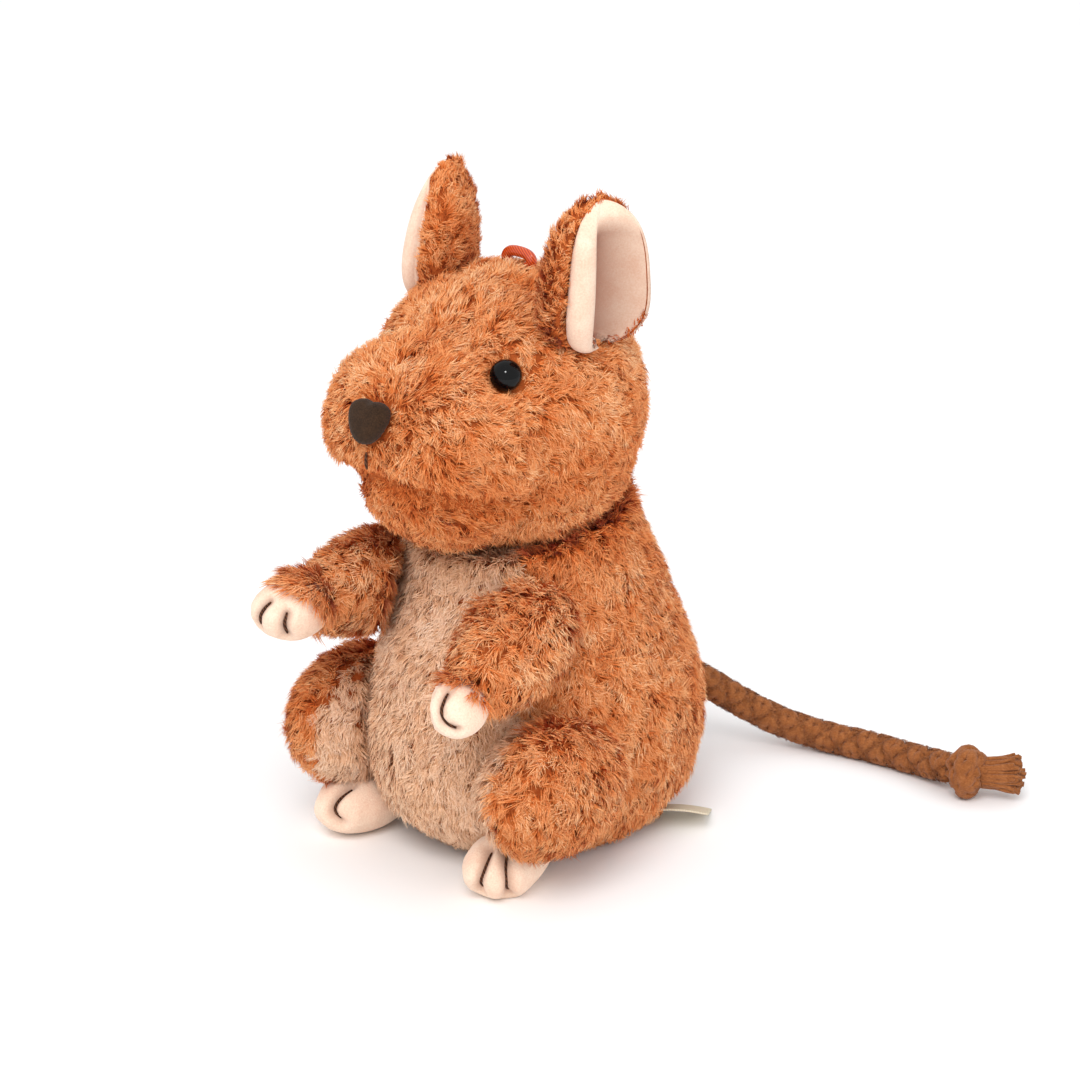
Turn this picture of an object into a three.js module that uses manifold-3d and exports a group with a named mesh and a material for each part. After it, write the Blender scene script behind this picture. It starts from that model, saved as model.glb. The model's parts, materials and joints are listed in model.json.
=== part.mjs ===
// A small sitting plush mouse with a rope tail, as its separate sewn and stuffed pieces.
// Millimetres, +Z up.  The mouse looks along -Y, its left side is +X, and it sits on Z = 0.
import * as THREE from 'three';
import { mergeVertices } from 'three/addons/utils/BufferGeometryUtils.js';
import Module from 'manifold-3d';

const wasm = await Module();
wasm.setup();

// ---------------------------------------------------------------- driving dimensions
const GAP = 0.3;              // clearance between pieces that touch
const CLOTH = 1.4;            // fur fabric with its backing
const SIDES = [['left', 1], ['right', -1]];
const ORIGIN = [-0.5, 1.75, 0];   // under the middle of the toy without its free tail

const CRANIUM = { at: [0, -0.5, 85.3], r: [25.6, 25.4, 25] };
const MUZZLE = { at: [0, -18.2, 84.8], r: [22, 18.6, 17.4] };
const CHIN = { at: [0, -16, 74.5], r: [16.5, 15.5, 11] };
const MOUTH_HEIGHT = 77.5;    // the chin panel ends here
const CHIN_BACK = -8;         // and reaches back to here in Y
const NECK = { at: [0, -0.5, 54], r: 12 };
const NOD_ROOM = 2.9;         // space over the shoulders for the head to nod
const HEAD_TURNS = [-25, 0, 25];   // degrees, where the chin has that space too
const NECK_SEAM = { r: 10.25, z: 61.6, thread: 0.3 };

// torso sections from the seat to the neck: height, half width, half depth, centre in Y
const TORSO = [
  [0, 17.5, 18, 11], [3, 23, 26.5, 9], [9, 27.2, 32.4, 8.2], [17, 29, 34.8, 8],
  [25, 29, 34.8, 8], [35, 26.8, 32, 7.6], [44, 24.6, 28.4, 7], [52, 22.8, 25.2, 6.4],
  [60, 20.8, 22, 5.4], [67, 18.6, 19, 4.4],
];
const SEAT = 1.2;             // thickness of the flat base panel
const BELLY_HALF = 17;        // half width of the belly panel
const BELLY_BACK = -1;        // the belly panel reaches back to here in Y
const POUCH_TOP = 9;

const EYE = { toward: [0.588, -0.659, 0.47], out: 25.4, r: 3, bulge: 2.3, stem: 0.9, length: 6 };
const WASHER = { r: 2.8, thick: 0.8, depth: 2.2 };
const NOSE = { at: [0, -35.4, 89.8], width: 8.6, height: 8, thick: 2.6, tilt: 20 };
const EAR = { at: [17.6, 2.4, 99.6], width: 17, height: 28, turn: 60, base: 0.1, tip: 0.05 };
const EAR_LEAN = { left: { out: 11, nod: 9 }, right: { out: 4, nod: 5 } };
const EAR_PLATE = { back: 2.6, lining: 1.5 };
const EAR_ROOM = 1.3;         // between an ear and the head, for the ear to fold
const LOOP = { at: [0, 3.5, 111.4], half: 3, height: 2.4, cord: 1.6 };

const SHOULDER = { at: [17.5, -10.8, 51], axis: [0.77, -0.6, 0.22], reach: 14 };
const SLEEVE = { start: -7.5, end: 24, wide: 9.6, thick: 8.4, wrist: 21.5 };
const PAW_FORM = { at: [0, -25.6, 0], r: [5.4, 7, 6.2] };
const ARM_POSE = { left: { drop: 36, splay: 31 }, right: { drop: 10, splay: 38 } };

const THIGH = { left: [24, -15.2, 21], right: [-25, -13.8, 21], r: [10.5, 16.5, 13] };
const LEG_SEAM = 22.5;        // the inner leg panel lies inside this X
const FOOT = { left: [17.6, -19, 5.2], right: [-21.3, -17, 5.2], r: [7.6, 11, 5.8] };
const THREAD = { d: 0.6, lift: 0.65 };   // surface stitches, their axis above the cloth
const TOE_LINES = [
  [[0.31, -0.76, 0.5], [0.34, -0.86, 0.38], [0.33, -1, 0.16], [0.32, -1, -0.12]],
  [[-0.31, -0.76, 0.5], [-0.34, -0.86, 0.38], [-0.33, -1, 0.16], [-0.32, -1, -0.12]],
];
const FINGER_LINES = {
  left: [
    [[0.9, 0, 0.3], [0.8, -0.5, 0.36], [0.45, -0.95, 0.2], [0.3, -1, -0.2]],
    [[0.1, -0.5, 0.8], [-0.1, -0.8, 0.6], [-0.2, -1, 0.3]],
  ],
  right: [
    [[0.75, -0.3, 0.5], [0.7, -0.7, 0.42], [0.45, -1, 0.3]],
    [[0.75, -0.3, -0.2], [0.7, -0.7, -0.2], [0.45, -1, -0.2]],
  ],
};

const TAIL = { d: 5.8, root: [0, 43.4, 18], ball: 3.6, sides: 10 };
const TAIL_ROUTE = [
  [0.7, 47.6, 17.3], [1.9, 50.2, 16.2], [4.8, 53.2, 14], [8.4, 56.2, 11], [12.4, 59.4, 8], [16.8, 62.6, 5.4],
  [21.6, 65.2, 3.8], [26.6, 67, 3.1], [31.8, 68.2, 3], [37.2, 69, 3], [42.6, 69.3, 3],
  [48.4, 69, 3.5], [53.8, 68.1, 4.3],
];
const KNOT = { half: 4, across: 4.7, tall: 5 };
const TUFT = { length: 6, d: 6.4, flare: 1.25, turn: 45 };
const TAG = { angle: 38, z: 1.5, length: 8, width: 11, thick: 0.5 };

// ---------------------------------------------------------------- solids
const radians = THREE.MathUtils.degToRad;
const vec = (a) => new THREE.Vector3(...a);

const toSolid = (geometry) => {
  const bare = geometry.clone();
  bare.deleteAttribute('normal');
  bare.deleteAttribute('uv');
  const merged = mergeVertices(bare, 1e-4);
  return new wasm.Manifold(new wasm.Mesh({
    numProp: 3,
    vertProperties: new Float32Array(merged.attributes.position.array),
    triVerts: new Uint32Array(merged.index.array),
  }));
};

const toGeometry = (solid) => {
  const mesh = solid.getMesh();
  const geometry = new THREE.BufferGeometry();
  geometry.setAttribute('position', new THREE.BufferAttribute(mesh.vertProperties, 3));
  geometry.setIndex(new THREE.BufferAttribute(mesh.triVerts, 1));
  geometry.computeVertexNormals();
  return geometry;
};

const warp = (geometry, move) => {
  const places = geometry.attributes.position;
  const p = new THREE.Vector3();
  for (let i = 0; i < places.count; i += 1) {
    p.fromBufferAttribute(places, i);
    move(p);
    places.setXYZ(i, p.x, p.y, p.z);
  }
  return geometry;
};

const unitSphere = (around, up) => new THREE.SphereGeometry(1, around, up).rotateX(Math.PI / 2);

const roundGeometry = ({ at, r }, shrink = 0, around = 22, up = 14) => unitSphere(around, up)
  .scale(r[0] - shrink, r[1] - shrink, r[2] - shrink)
  .translate(...at);

const round = (form, shrink, around, up) => toSolid(roundGeometry(form, shrink, around, up));
const ball = (at, r, around = 18, up = 12) => round({ at, r: [r, r, r] }, 0, around, up);

const block = (low, high) => toSolid(
  new THREE.BoxGeometry(high[0] - low[0], high[1] - low[1], high[2] - low[2])
    .translate((low[0] + high[0]) / 2, (low[1] + high[1]) / 2, (low[2] + high[2]) / 2),
);

const FAR = 200;
const leftOf = (x) => block([x, -FAR, -FAR], [FAR, FAR, FAR]);
const rightOf = (x) => block([-FAR, -FAR, -FAR], [x, FAR, FAR]);
const above = (z) => block([-FAR, -FAR, z], [FAR, FAR, FAR]);

// a frame with its origin at a point and its X along a direction, Z as near upright as it goes
const frameAlong = (at, direction) => {
  const x = vec(direction).normalize();
  const y = new THREE.Vector3(0, 0, 1).cross(x).normalize();
  const z = x.clone().cross(y);
  return new THREE.Matrix4().makeBasis(x, y, z).setPosition(...at);
};

const mirrored = ([x, y, z], side) => [x * side, y, z];

// the same piece for the other side of the body
const onSide = (geometry, side) => {
  const copy = mergeVertices(geometry.clone().deleteAttribute('normal').deleteAttribute('uv'));
  if (side < 0) {
    copy.scale(-1, 1, 1);
    copy.index.array.reverse();
  }
  return copy;
};

const circle = (d, sides) => {
  const shape = new THREE.Shape();
  for (let i = 0; i < sides; i += 1) {
    const a = (i / sides) * 2 * Math.PI;
    const step = i === 0 ? 'moveTo' : 'lineTo';
    shape[step]((d / 2) * Math.cos(a), (d / 2) * Math.sin(a));
  }
  return shape;
};

const tube = (points, d, sides, steps) => new THREE.ExtrudeGeometry(circle(d, sides), {
  extrudePath: new THREE.CatmullRomCurve3(points.map(vec), false, 'centripetal'),
  steps,
  bevelEnabled: false,
});

// ---------------------------------------------------------------- the finished object
const toy = new THREE.Group();
const FUR = { color: 0xc67a42, roughness: 0.95 };
const BELLY = { color: 0xb08a72, roughness: 0.95 };
const VELOUR = { color: 0xf0d0bc, roughness: 0.9 };
const FILLING = { color: 0xf2f0ea, roughness: 1 };
const STITCH = { color: 0x3a241c, roughness: 0.8 };
const ROPE = { color: 0x8a5232, roughness: 0.95 };
const GLOSS = { color: 0x080808, roughness: 0.08 };
const SUEDE = { color: 0x3e302a, roughness: 0.95 };
const PLAIN = { color: 0xe8e2d0, roughness: 0.8 };
const SATIN = { color: 0xb8381c, roughness: 0.35 };
const WHITE_PLASTIC = { color: 0xe6e6e2, roughness: 0.5 };

const add = (name, shape, look) => {
  const geometry = shape.isBufferGeometry ? shape : toGeometry(shape);
  const mesh = new THREE.Mesh(geometry, new THREE.MeshStandardMaterial({ ...look, metalness: 0 }));
  mesh.name = name;
  mesh.geometry.translate(-ORIGIN[0], -ORIGIN[1], -ORIGIN[2]);
  toy.add(mesh);
};

// ---------------------------------------------------------------- head
const headForm = (shrink) => round(CRANIUM, shrink, ...(shrink > 0 ? [16, 10] : [24, 14]))
  .add(round(MUZZLE, shrink, ...(shrink > 0 ? [14, 8] : [20, 12])))
  .add(round(CHIN, shrink, ...(shrink > 0 ? [12, 8] : [16, 10])));

const neckBall = (gap) => ball(NECK.at, NECK.r + gap, 16, 10);
const neckRoom = neckBall(GAP);
const eyePlace = (side, out) => vec(CRANIUM.at)
  .addScaledVector(vec(mirrored(EYE.toward, side)).normalize(), out).toArray();
const rod = (r, from, to, sides = 16) => new THREE.CylinderGeometry(r, r, to - from, sides)
  .rotateZ(-Math.PI / 2).translate((from + to) / 2, 0, 0);
const alongEye = (geometry, side) => geometry
  .applyMatrix4(frameAlong(eyePlace(side, EYE.out), mirrored(EYE.toward, side)));

const makeHead = () => {
  const outer = headForm(0);
  let cover = outer.subtract(headForm(CLOTH)).subtract(neckRoom);
  let filling = headForm(CLOTH + GAP).subtract(neckRoom);
  SIDES.forEach(([, side]) => {
    cover = cover.subtract(toSolid(alongEye(rod(EYE.stem + GAP, -5, 5, 12), side)));
    cover = cover.subtract(toSolid(alongEye(rod(EYE.r + GAP, 0, 5), side)));
    filling = filling.subtract(toSolid(alongEye(rod(WASHER.r + GAP, -EYE.length - 1, 5), side)));
  });
  const chinRoom = block([-FAR, -FAR, 0], [FAR, CHIN_BACK, MOUTH_HEIGHT]);
  const chinEdge = block([-FAR, -FAR, 0], [FAR, CHIN_BACK + GAP, MOUTH_HEIGHT + GAP]);
  const upper = cover.subtract(chinEdge);
  add('chin_panel', cover.intersect(chinRoom), FUR);
  add('head_panel_left', upper.intersect(leftOf(GAP / 2)), FUR);
  add('head_panel_right', upper.intersect(rightOf(-GAP / 2)), FUR);
  add('head_stuffing', filling, FILLING);

  const seam = new THREE.TorusGeometry(NECK_SEAM.r, NECK_SEAM.thread, 5, 26);
  add('neck_seam_thread', seam.translate(NECK.at[0], NECK.at[1], NECK_SEAM.z), STITCH);
};

const makeEyes = () => SIDES.forEach(([name, side]) => {
  const bead = unitSphere(16, 10).scale(EYE.bulge, EYE.r, EYE.r).translate(GAP + 0.4, 0, 0);
  const stem = rod(EYE.stem, -EYE.length, 0.5, 12);
  const front = block([GAP, -9, -9], [9, 9, 9]);
  const eye = toSolid(bead).intersect(front).add(toSolid(stem));
  const placed = alongEye(toGeometry(eye), side);
  add(`eye_${name}`, placed, GLOSS);
  const disc = toSolid(rod(WASHER.r, -WASHER.depth - WASHER.thick, -WASHER.depth))
    .subtract(toSolid(rod(EYE.stem + GAP, -9, 9, 12)));
  add(`eye_washer_${name}`, alongEye(toGeometry(disc), side), WHITE_PLASTIC);
});

const makeNose = () => {
  const w = NOSE.width / 2;
  const h = NOSE.height / 2;
  const outline = new THREE.Shape();
  outline.moveTo(0, -h);
  outline.bezierCurveTo(w * 0.55, -h, w, h * 0.1, w, h * 0.45);
  outline.bezierCurveTo(w, h, w * 0.4, h * 1.1, 0, h * 0.85);
  outline.bezierCurveTo(-w * 0.4, h * 1.1, -w, h, -w, h * 0.45);
  outline.bezierCurveTo(-w, h * 0.1, -w * 0.55, -h, 0, -h);
  const pad = new THREE.ExtrudeGeometry(outline, {
    depth: 2, curveSegments: 5, bevelEnabled: true, bevelThickness: 1.6, bevelSize: 1.3, bevelOffset: -1.3,
    bevelSegments: 3,
  });
  pad.rotateX(Math.PI / 2).translate(0, NOSE.thick - 2, 0);
  pad.rotateX(-radians(NOSE.tilt)).translate(...NOSE.at);
  const face = round(MUZZLE, -GAP, 20, 12);
  add('nose_pad', toSolid(pad).subtract(face), SUEDE);
  const mouth = [[0, -36.9, 85.2], [0, -37.25, 83.6], [0, -36.95, 81.4]];
  add('mouth_stitch', tube(mouth, THREAD.d, 6, 6), STITCH);
};

// ---------------------------------------------------------------- ears
// An ear plate is a petal standing on its hinge line, cupped towards its own -Y and most at the base.
const petal = (width, height, thick, ahead) => warp(unitSphere(18, 10), (p) => {
  const edge = Math.min(1, Math.hypot(p.x, p.z));
  const face = Math.abs(p.y) < 1e-6 ? 0 : Math.sign(p.y);
  const t = (thick / 2) * face * Math.sqrt(Math.max(0, 1 - edge ** 6));
  const cup = THREE.MathUtils.mapLinear(p.z, -1, 1, EAR.base, EAR.tip);
  p.x *= (width / 2) * (1 - 0.14 * p.z);
  p.z = (p.z + 1) * (height / 2);
  p.y = t + ahead - cup * p.x * p.x;
});

const makeEars = () => SIDES.forEach(([name, side]) => {
  const place = (geometry) => geometry
    .rotateZ(radians(EAR.turn) * side)
    .rotateY(radians(EAR_LEAN[name].out) * side)
    .rotateX(radians(EAR_LEAN[name].nod))
    .translate(...mirrored(EAR.at, side));
  const room = headForm(-EAR_ROOM);
  const back = petal(EAR.width, EAR.height, EAR_PLATE.back, EAR_PLATE.back / 2 + GAP / 2);
  const lining = petal(EAR.width - 2.4, EAR.height - 2.2, EAR_PLATE.lining, -EAR_PLATE.lining / 2 - GAP / 2);
  lining.translate(0, 0, 0.8);
  add(`ear_back_${name}`, toSolid(place(back)).subtract(room), FUR);
  add(`ear_lining_${name}`, toSolid(place(lining)).subtract(room), VELOUR);
});

const makeLoop = () => {
  const [x, y, z] = LOOP.at;
  const { half, height } = LOOP;
  const arch = [
    [x - half * 0.7, y, z], [x - half, y, z + height * 0.45], [x - half * 0.75, y, z + height * 0.85],
    [x, y, z + height], [x + half * 0.75, y, z + height * 0.85], [x + half, y, z + height * 0.45],
    [x + half * 0.7, y, z],
  ];
  add('hanging_loop', tube(arch, LOOP.cord, 8, 20), SATIN);
};

// ---------------------------------------------------------------- torso
const torsoForm = (shrink) => {
  const ring = [new THREE.Vector2(0, 0)];
  TORSO.forEach((row, i) => ring.push(new THREE.Vector2(1, i)));
  ring.push(new THREE.Vector2(0, TORSO.length - 1));
  const lathe = new THREE.LatheGeometry(ring, shrink > 0 ? 20 : 28).rotateX(Math.PI / 2);
  return toSolid(warp(lathe, (p) => {
    const row = TORSO[Math.round(Math.abs(p.z))];
    p.set(p.x * (row[1] - shrink), row[3] + p.y * (row[2] - shrink), row[0]);
  }));
};

const shoulderFrame = frameAlong(SHOULDER.at, SHOULDER.axis);

// the head has a bowl to move in on the shoulders, each arm lies against a small flat on the side
const torsoRoom = () => {
  const turnedChin = (degrees) => toSolid(roundGeometry(CHIN, -NOD_ROOM, 16, 10)
    .translate(-NECK.at[0], -NECK.at[1], 0).rotateZ(radians(degrees)).translate(NECK.at[0], NECK.at[1], 0));
  const bowl = HEAD_TURNS.reduce((room, turn) => room.add(turnedChin(turn)), round(CRANIUM, -NOD_ROOM, 18, 12));
  const socket = ball(TAIL.root, TAIL.ball + GAP, 16, 10);
  return SIDES.reduce((room, [, side]) => {
    const flat = rod(SHOULDER.reach, 0, 30, 14).applyMatrix4(shoulderFrame);
    return room.add(toSolid(onSide(flat, side)));
  }, bowl.add(neckRoom).add(socket));
};

const makeTorso = () => {
  const room = torsoRoom();
  const whole = torsoForm(0).subtract(room);
  const cover = whole.subtract(torsoForm(CLOTH)).intersect(above(SEAT + GAP));
  const bellyBox = block([-BELLY_HALF, -FAR, 0], [BELLY_HALF, BELLY_BACK, FAR]);
  const bellyEdge = block([-BELLY_HALF - GAP, -FAR, 0], [BELLY_HALF + GAP, BELLY_BACK + GAP, FAR]);
  const sides = cover.subtract(bellyEdge);
  add('belly_panel', cover.intersect(bellyBox), BELLY);
  add('body_panel_left', sides.intersect(leftOf(GAP / 2)), FUR);
  add('body_panel_right', sides.intersect(rightOf(-GAP / 2)), FUR);
  add('base_panel', whole.intersect(block([-FAR, -FAR, 0], [FAR, FAR, SEAT])), FUR);
  const inside = torsoForm(CLOTH + GAP).subtract(room).intersect(above(SEAT + GAP));
  add('bean_pouch', inside.intersect(block([-FAR, -FAR, 0], [FAR, FAR, POUCH_TOP])), PLAIN);
  add('body_stuffing', inside.intersect(above(POUCH_TOP + GAP)), FILLING);
  add('neck_stuffing', neckBall(0), FILLING);
};

// ---------------------------------------------------------------- arms
// In an arm's own frame the root is the origin, +X leaves the body and the limb runs along -Y.
const shoulderTurn = (name) => shoulderFrame.clone()
  .multiply(new THREE.Matrix4().makeRotationX(radians(ARM_POSE[name].drop)));

const limbPlace = (name) => shoulderTurn(name)
  .multiply(new THREE.Matrix4().makeRotationZ(radians(ARM_POSE[name].splay)));

const sleeveForm = (shrink) => toSolid(unitSphere(...(shrink > 0 ? [12, 8] : [16, 12]))
  .scale(SLEEVE.thick - shrink, (SLEEVE.end - SLEEVE.start) / 2 - shrink, SLEEVE.wide - shrink)
  .translate(0, -(SLEEVE.end + SLEEVE.start) / 2, 0));

const beyondWrist = (gap) => block([-FAR, -FAR, -FAR], [FAR, -SLEEVE.wrist - gap, FAR]);

const moved = (solid, matrix) => toSolid(toGeometry(solid).applyMatrix4(matrix));

const threadOn = (form, path) => tube(path.map(([x, y, z]) => {
  const way = new THREE.Vector3(x, y, z).normalize();
  const reach = 1 / Math.hypot(way.x / form.r[0], way.y / form.r[1], way.z / form.r[2]);
  return way.multiplyScalar(reach + THREAD.lift).add(vec(form.at)).toArray();
}), THREAD.d, 5, 7);

const makeArms = () => SIDES.forEach(([name, side]) => {
  const beyondRoot = moved(block([GAP, -FAR, -FAR], [FAR, FAR, FAR]), shoulderFrame);
  const place = (solid) => moved(solid, limbPlace(name));
  const put = (piece, solid, look) => add(`${piece}_${name}`, onSide(toGeometry(solid), side), look);
  const cover = sleeveForm(0).subtract(sleeveForm(CLOTH)).subtract(beyondWrist(0));
  const filling = sleeveForm(CLOTH + GAP).subtract(beyondWrist(0));
  put('sleeve', place(cover).intersect(beyondRoot), FUR);
  put('arm_stuffing', place(filling).intersect(beyondRoot), FILLING);
  put('paw', place(round(PAW_FORM, 0, 16, 10).intersect(beyondWrist(GAP))), VELOUR);
  FINGER_LINES[name].forEach((path, i) => {
    const thread = threadOn(PAW_FORM, path).applyMatrix4(limbPlace(name));
    add(`finger_stitch_${name}_${i + 1}`, onSide(thread, side), STITCH);
  });
});

// ---------------------------------------------------------------- legs
const makeLegs = () => {
  const body = torsoForm(-GAP);
  SIDES.forEach(([name, side]) => {
    const foot = { at: FOOT[name], r: FOOT.r };
    const thigh = { at: THIGH[name], r: THIGH.r };
    const room = body.add(round(foot, -GAP, 16, 10));
    const cover = round(thigh, 0, 16, 12).subtract(round(thigh, CLOTH, 12, 8)).subtract(room);
    const outside = side > 0 ? leftOf(LEG_SEAM + GAP) : rightOf(-LEG_SEAM - GAP);
    const inside = side > 0 ? rightOf(LEG_SEAM) : leftOf(-LEG_SEAM);
    add(`thigh_cover_${name}`, cover.intersect(outside), FUR);
    add(`leg_panel_${name}`, cover.intersect(inside), BELLY);
    add(`thigh_stuffing_${name}`, round(thigh, CLOTH + GAP, 12, 8).subtract(room), FILLING);
    add(`foot_${name}`, round(foot, 0, 16, 12).intersect(above(0)).subtract(body), VELOUR);
    TOE_LINES.forEach((path, i) => {
      const line = path.map(([x, y, z]) => [x * side, y, z]);
      add(`toe_stitch_${name}_${i + 1}`, threadOn(foot, line), STITCH);
    });
  });
};

// ---------------------------------------------------------------- tail and care tag
const makeTail = () => {
  add('tail_root', ball(TAIL.root, TAIL.ball, 14, 8), ROPE);
  add('tail_rope', tube(TAIL_ROUTE, TAIL.d, TAIL.sides, 26), ROPE);
  const end = vec(TAIL_ROUTE.at(-1));
  const way = end.clone().sub(vec(TAIL_ROUTE.at(-2))).normalize();
  const middle = end.clone().addScaledVector(way, KNOT.half + 2 * GAP);
  middle.z = KNOT.tall + 0.05;
  const turned = frameAlong(middle.toArray(), [way.x, way.y, 0]);
  const knot = toSolid(unitSphere(16, 10).scale(KNOT.half + 1, KNOT.across, KNOT.tall))
    .intersect(block([-KNOT.half, -FAR, -FAR], [KNOT.half, FAR, FAR]));
  add('tail_knot', moved(knot, turned), ROPE);
  const tuft = new THREE.CylinderGeometry(TUFT.d / 2 * TUFT.flare, TUFT.d / 2, TUFT.length, 10)
    .rotateZ(-Math.PI / 2).translate(KNOT.half + 1 + GAP + TUFT.length / 2, 0, 0);
  const bend = new THREE.Matrix4().makeRotationZ(radians(TUFT.turn));
  add('tail_tuft', tuft.applyMatrix4(bend).applyMatrix4(turned), ROPE);
};

const makeTag = () => {
  const a = radians(TAG.angle);
  const row = TORSO[1];
  const root = [row[1] * Math.cos(a), row[3] + row[2] * Math.sin(a), TAG.z];
  const out = [row[2] * Math.cos(a), row[1] * Math.sin(a), 0];
  const plate = new THREE.BoxGeometry(TAG.length, TAG.width, TAG.thick).translate(TAG.length / 2 + 1, 0, 0);
  add('care_tag', plate.applyMatrix4(frameAlong(root, out)), PLAIN);
};

makeHead();
makeEyes();
makeNose();
makeEars();
makeLoop();
makeTorso();
makeArms();
makeLegs();
makeTail();
makeTag();

export default toy;
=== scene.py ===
"""The looks of a small sitting plush mouse: sewn skins with a curly pile, velour paws, a rope tail."""
import json
import math

import bmesh
import bpy
import numpy as np
from mathutils import Matrix, Vector, noise
from mathutils.bvhtree import BVHTree


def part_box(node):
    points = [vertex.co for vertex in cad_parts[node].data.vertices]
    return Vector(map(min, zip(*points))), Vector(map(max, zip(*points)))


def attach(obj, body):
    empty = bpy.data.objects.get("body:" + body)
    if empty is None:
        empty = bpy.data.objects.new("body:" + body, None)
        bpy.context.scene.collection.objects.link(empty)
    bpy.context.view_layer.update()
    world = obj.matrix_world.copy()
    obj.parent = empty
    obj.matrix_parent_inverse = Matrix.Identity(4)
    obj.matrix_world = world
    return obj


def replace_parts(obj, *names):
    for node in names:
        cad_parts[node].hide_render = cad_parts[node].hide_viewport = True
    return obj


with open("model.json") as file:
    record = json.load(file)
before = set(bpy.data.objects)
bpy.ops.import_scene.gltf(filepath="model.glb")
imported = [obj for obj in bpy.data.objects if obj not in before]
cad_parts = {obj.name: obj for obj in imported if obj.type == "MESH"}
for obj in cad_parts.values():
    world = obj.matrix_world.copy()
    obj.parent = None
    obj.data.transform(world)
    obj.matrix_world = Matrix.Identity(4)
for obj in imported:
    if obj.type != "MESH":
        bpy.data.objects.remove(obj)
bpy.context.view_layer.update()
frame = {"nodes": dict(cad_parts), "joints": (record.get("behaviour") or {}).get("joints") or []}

MM = 0.001
SIDES = {"left": 1, "right": -1}
ORIGIN = (-0.5, 1.75, 0)      # where the frame's origin lies in the design's own coordinates, in mm


def mm(*values):
    """A length, or a point of the design in the row frame, from millimetres."""
    if len(values) == 1:
        return values[0] * MM
    return Vector((values[0] - ORIGIN[0], values[1] - ORIGIN[1], values[2] - ORIGIN[2])) * MM


# ---------------------------------------------------------------- camera
CAMERA = {"azimuth": 40.7, "elevation": 21, "distance": mm(675), "lens": 122.6,
          "target": mm(4.55, 3.91, 57.8)}


def direction(azimuth, elevation):
    """Which way a camera or light at this azimuth and elevation looks."""
    a, e = math.radians(azimuth), math.radians(elevation)
    return Vector((-math.sin(a) * math.cos(e), math.cos(a) * math.cos(e), -math.sin(e)))


def aimed(name, data, azimuth, elevation, distance):
    """A camera or light on a sphere round the toy, looking at its middle."""
    thing = bpy.data.objects.new(name, data)
    look = direction(azimuth, elevation)
    thing.location = CAMERA["target"] - look * distance
    thing.rotation_euler = look.to_track_quat("-Z", "Y").to_euler()
    bpy.context.scene.collection.objects.link(thing)
    return thing


def make_camera():
    data = bpy.data.cameras.new("camera")
    data.lens = CAMERA["lens"]
    data.clip_start, data.clip_end = 0.01, 20
    where = [CAMERA[k] for k in ("azimuth", "elevation", "distance")]
    bpy.context.scene.camera = aimed("camera", data, *where)


# ---------------------------------------------------------------- materials
def linear(colour):
    """A screen colour, 0 to 255, in the renderer's own numbers."""
    return tuple(((c / 255 + 0.055) / 1.055) ** 2.4 if c > 10 else c / 3294 for c in colour) + (1.0,)


BAND_SCALE = 0.314      # the wave texture's scale for bands one unit wide


class Paint:
    """A node-based material around one Principled shader."""

    def __init__(self, name, colour, roughness=0.8, **settings):
        self.material = bpy.data.materials.new(name)
        self.material.use_nodes = True
        self.tree = self.material.node_tree
        self.shader = self.tree.nodes["Principled BSDF"]
        self.shader.inputs["Base Color"].default_value = linear(colour)
        self.shader.inputs["Roughness"].default_value = roughness
        for socket, value in settings.items():
            self.shader.inputs[socket.replace("_", " ")].default_value = value
        self.place = self.tree.nodes.new("ShaderNodeTexCoord").outputs["Object"]

    def link(self, out, socket):
        self.tree.links.new(out, socket)

    def node(self, kind, **settings):
        """A new node with these values in its inputs."""
        node = self.tree.nodes.new(kind)
        for socket, value in settings.items():
            node.inputs[socket.replace("_", " ")].default_value = value
        return node

    def pattern(self, kind, scale, **settings):
        """A texture node on the object's own coordinates, times a scale on each axis."""
        mapping = self.node("ShaderNodeMapping", Scale=scale)
        self.link(self.place, mapping.inputs["Vector"])
        node = self.node(kind, Scale=1, **settings)
        self.link(mapping.outputs[0], node.inputs["Vector"])
        return node

    def noise(self, size, detail=4, stretch=(1, 1, 1)):
        """Noise whose features are about size metres across."""
        scale = [1 / (size * s) for s in stretch]
        return self.pattern("ShaderNodeTexNoise", scale, Detail=detail, Roughness=0.6).outputs["Fac"]

    def wave(self, size, direction, distortion=0.0):
        """Even bands of this width in metres."""
        node = self.pattern("ShaderNodeTexWave", [BAND_SCALE / size] * 3, Distortion=distortion)
        node.bands_direction = direction
        return node.outputs["Fac"]

    def weave(self, size):
        return self.combine(self.wave(size, "X"), self.wave(size, "Y"))

    def combine(self, a, b, share=0.5):
        node = self.node("ShaderNodeMix", Factor=share)
        self.link(a, node.inputs["A"])
        self.link(b, node.inputs["B"])
        return node.outputs["Result"]

    def colours(self, value, *stops):
        """Colours along a value, each stop being (where, colour)."""
        ramp = self.tree.nodes.new("ShaderNodeValToRGB")
        elements = ramp.color_ramp.elements
        while len(elements) < len(stops):
            elements.new(0.5)
        for element, (where, colour) in zip(elements, stops):
            element.position = where
            element.color = linear(colour)
        self.link(value, ramp.inputs["Fac"])
        self.link(ramp.outputs["Color"], self.shader.inputs["Base Color"])
        return self

    def rough(self, value, low, high):
        node = self.node("ShaderNodeMapRange", To_Min=low, To_Max=high)
        self.link(value, node.inputs["Value"])
        self.link(node.outputs[0], self.shader.inputs["Roughness"])
        return self

    def bump(self, value, height, strength=1.0):
        node = self.node("ShaderNodeBump", Distance=height, Strength=strength)
        self.link(value, node.inputs["Height"])
        self.link(node.outputs[0], self.shader.inputs["Normal"])
        return self


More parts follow.
